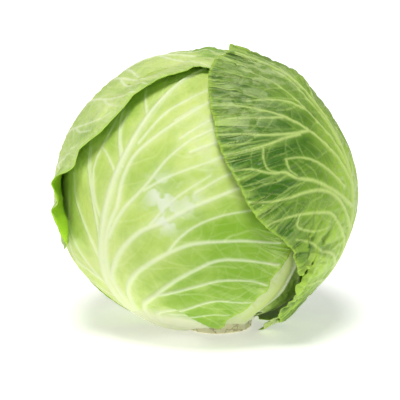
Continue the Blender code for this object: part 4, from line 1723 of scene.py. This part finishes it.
@dataclass(frozen=True)
class StemStump:
    """The cut end of the stem: a lumpy drum with creases, flat where it stands."""

    name: str = "stem_stump"
    slot: str = "cut_stem"
    finish: CutStemFinish = CutStemFinish()
    radius: float = 24.4
    height: float = 15.0
    draft: float = 1.0
    edge_round: float = 1.4
    segments: int = 220
    rows: int = 34
    rings: int = 26                 # on the cut face
    top_rings: int = 8
    crease_count: int = 9
    crease_depth: float = 0.9
    crease_width: float = 0.11      # radians
    sharp_angle: float = 50.0       # degrees, edges sharper than this are not shaded smooth
    seed: int = 29

    def profile(self) -> Points:
        """Radius and height of each ring of points.

        Returns:
            One row for each, from the innermost on the cut face to the innermost on top.
        """
        foot = self.radius - self.draft
        bottom = [((foot - self.edge_round) * k / self.rings, 0.0) for k in range(1, self.rings)]
        corner = [(foot - self.edge_round + self.edge_round * cos(t), self.edge_round * (1.0 + sin(t)))
                  for t in np.linspace(-pi / 2.0, 0.0, 7)]
        wall = [(foot + self.draft * k / self.rows,
                 self.edge_round + (self.height - self.edge_round) * k / self.rows)
                for k in range(1, self.rows + 1)]
        top = [(self.radius * (1.0 - k / self.top_rings), self.height) for k in range(1, self.top_rings)]
        return np.array(bottom + corner + wall + top)

    def build(self) -> Piece:
        """Build the stump and its material.

        Returns:
            The finished piece.
        """
        rng = np.random.default_rng(self.seed)
        turns = rng.uniform(0.0, 2.0 * pi, self.crease_count)
        slants = rng.uniform(-0.03, 0.03, self.crease_count)
        profile = self.profile()
        angle = np.linspace(0.0, 2.0 * pi, self.segments, endpoint=False)
        radius, height = (column[:, None] for column in profile.T)
        lump = 1.0 - 0.015 * (2.0 + np.cos(3.0 * angle + 0.6) + np.cos(5.0 * angle))
        ripple = 0.25 * np.sin(17.0 * angle + 0.4 * height) + 0.2 * np.sin(29.0 * angle - 0.3 * height)
        sink = np.zeros((len(profile), self.segments))
        for turn, slant in zip(turns, slants):
            off = np.angle(np.exp(1j * (angle - turn - slant * height)))
            sink += self.crease_depth * np.exp(-(off / self.crease_width) ** 2)
        reach = np.clip(radius / self.radius, 0.0, 1.0) ** 3
        out = radius * lump + reach * (ripple - sink)
        points = np.stack([out * np.cos(angle), out * np.sin(angle),
                           np.broadcast_to(height, out.shape)], -1)
        count = self.segments
        last = (len(profile) - 1) * count
        faces = [(row + k, row + (k + 1) % count, row + count + (k + 1) % count, row + count + k)
                 for row in range(0, last, count) for k in range(count)]
        faces.append(tuple(reversed(range(count))))
        faces.append(tuple(range(last, last + count)))
        stump = mesh_object(self.name, points.reshape(-1, 3), faces, {})
        stump.data.shade_smooth()
        stump.data.set_sharp_from_angle(angle=radians(self.sharp_angle))
        stump.data.materials.append(self.finish.material())
        return stump


@dataclass(frozen=True)
class Heart:
    """The ball of young leaves inside, each wrapped a step over the last."""

    name: str = "heart"
    slot: str = "inner_leaf"
    # leaves that never had light: pale yellow-green and smooth
    finish: LeafFinish = LeafFinish("young_cabbage_leaf_satin", pale="E2EBAA", green="CBDD82")
    inset: float = 2.0
    step: float = 0.8
    floor: float = 15.5
    subdivisions: int = 6
    no_margin: float = 50.0         # stands for the distance to a margin, which it has none of
    wraps: tuple[tuple[float, float, float], ...] = (
        (20, 35, 62), (140, 20, 70), (-100, 15, 66), (75, -10, 60), (-45, -5, 64))

    def build(self, form: HeadForm) -> Piece:
        """Build the ball and its material.

        Args:
            form: the head.

        Returns:
            The finished piece.
        """
        ball = bmesh.new()
        bmesh.ops.create_icosphere(ball, subdivisions=self.subdivisions, radius=1.0)
        ball.verts.index_update()
        normals = np.array([vert.co.normalized() for vert in ball.verts])
        faces = [tuple(vert.index for vert in face.verts) for face in ball.faces]
        ball.free()
        steps = np.zeros(len(normals))
        deep = np.zeros(len(normals))
        for azimuth, elevation, reach in self.wraps:
            towards = direction(azimuth, elevation)
            away = np.degrees(np.arccos(np.clip(normals @ towards, -1.0, 1.0)))
            wavy = away + 2.5 * np.sin(9.0 * normals[:, 0] + 7.0 * normals[:, 2])
            steps += self.step * ease(reach + 1.5, reach, wavy)
            deep += 0.3 * np.sin(away * 0.9) * ease(reach, 0.0, away)
        radius = form.layer_radius(normals, 0.0) - self.inset - self.step * 2.0 + steps
        points = np.array(form.centre) + normals * radius[:, None]
        points[:, 2] = np.maximum(points[:, 2], self.floor)
        heart = mesh_object(self.name, points, faces, {
            "deep": np.abs(deep), "side": np.ones(len(deep)), "margin": np.full(len(deep), self.no_margin),
            "plan": points})
        heart.data.shade_smooth()
        heart.data.materials.append(self.finish.material())
        return heart


@dataclass(frozen=True)
class Studio:
    """A pale floor, soft light and the camera."""

    floor_size: float = 9.0                 # metres
    floor_colour: str = "F4F4F2"
    floor_glow: float = 0.42                # the floor is a light table, so shadows on it stay pale
    world_strength: float = 0.30
    key_strength: float = 2.4
    key_from: tuple[float, float, float] = (-0.08, -0.44, 1.0)
    key_angle: float = 24.0                 # degrees
    elevation: float = 12.0                 # of the camera, degrees
    distance: float = 1.15                  # metres from the camera to the head
    frame_width: float = 0.248              # metres seen across at that distance
    sensor: float = 36.0
    aim: Pair = (-2.5, -6.8)                # to the right of and above the head's centre, mm

    def build(self, form: HeadForm) -> None:
        """Add the floor, the lights and the camera.

        Args:
            form: the head, which the camera looks at.
        """
        self._lay_floor()
        self._light()
        self._aim_camera(Vector(form.centre))
        bpy.context.scene.view_settings.view_transform = "Standard"

    def _lay_floor(self) -> None:
        """Add the pale floor."""
        corners = np.array([(-1.0, -1.0, 0.0), (1.0, -1.0, 0.0), (1.0, 1.0, 0.0), (-1.0, 1.0, 0.0)])
        ground = mesh_object("floor", corners * (self.floor_size / MM / 2.0), [(0, 1, 2, 3)], {})
        paper, _, shader = new_material("floor_paper_matt")
        set_inputs(shader, {"Base Color": linear(self.floor_colour), "Roughness": 0.9,
                            "Specular IOR Level": 0.1, "Emission Color": WHITE,
                            "Emission Strength": self.floor_glow})
        ground.data.materials.append(paper)

    def _light(self) -> None:
        """Add the soft light from all round and the key light."""
        world = bpy.data.worlds.new("studio")
        world.use_nodes = True
        set_inputs(world.node_tree.nodes["Background"], {"Color": WHITE, "Strength": self.world_strength})
        bpy.context.scene.world = world
        lamp = bpy.data.lights.new("key", "SUN")
        lamp.energy = self.key_strength
        lamp.angle = radians(self.key_angle)
        key = add_object("key", lamp)
        key.rotation_euler = Vector(self.key_from).to_track_quat("Z", "Y").to_euler()

    def _aim_camera(self, centre: Vector) -> None:
        """Add the camera.

        Args:
            centre: the middle of the head, millimetres.
        """
        tilt = radians(self.elevation)
        right = Vector((1.0, 0.0, 0.0))
        up = Vector((0.0, sin(tilt), cos(tilt)))
        back = Vector((0.0, -cos(tilt), sin(tilt)))
        target = (centre + right * self.aim[0] + up * self.aim[1]) * MM
        lens = bpy.data.cameras.new("camera")
        lens.sensor_width = self.sensor
        lens.lens = self.sensor * self.distance / self.frame_width
        camera = add_object("camera", lens)
        camera.matrix_world = (Matrix.Translation(target + back * self.distance)
                               @ back.to_track_quat("Z", "Y").to_matrix().to_4x4())
        bpy.context.scene.camera = camera


def place(piece: Piece, slot: str) -> None:
    """Let a piece stand for the CAD node of its name.

    Args:
        piece: the finished piece.
        slot: the record's material slot; not used.
    """
    node = piece.name.removesuffix("_skin")
    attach(piece, "root")
    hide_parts(node)
    LOG.info("%s: %d faces", piece.name, len(piece.data.polygons))


def main() -> None:
    """Build every piece in order."""
    logging.basicConfig(level=logging.INFO, format="%(name)s %(message)s")
    form = HeadForm()
    Studio().build(form)
    relief = ReliefTree()
    stump = StemStump(name="stem_stump_skin")
    place(stump.build(), stump.slot)
    heart = Heart(name="heart_skin")
    place(heart.build(form), heart.slot)
    for kind in (LowerRightLeaf, RibLeaf, RearLeaf, FrontLeaf, BackLeaf, RightLeaf, TornStub):
        leaf = kind(name=f"{kind.name}_skin")
        place(leaf.build(form, relief), leaf.slot)
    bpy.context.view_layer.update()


if __name__ == "__main__":
    main()
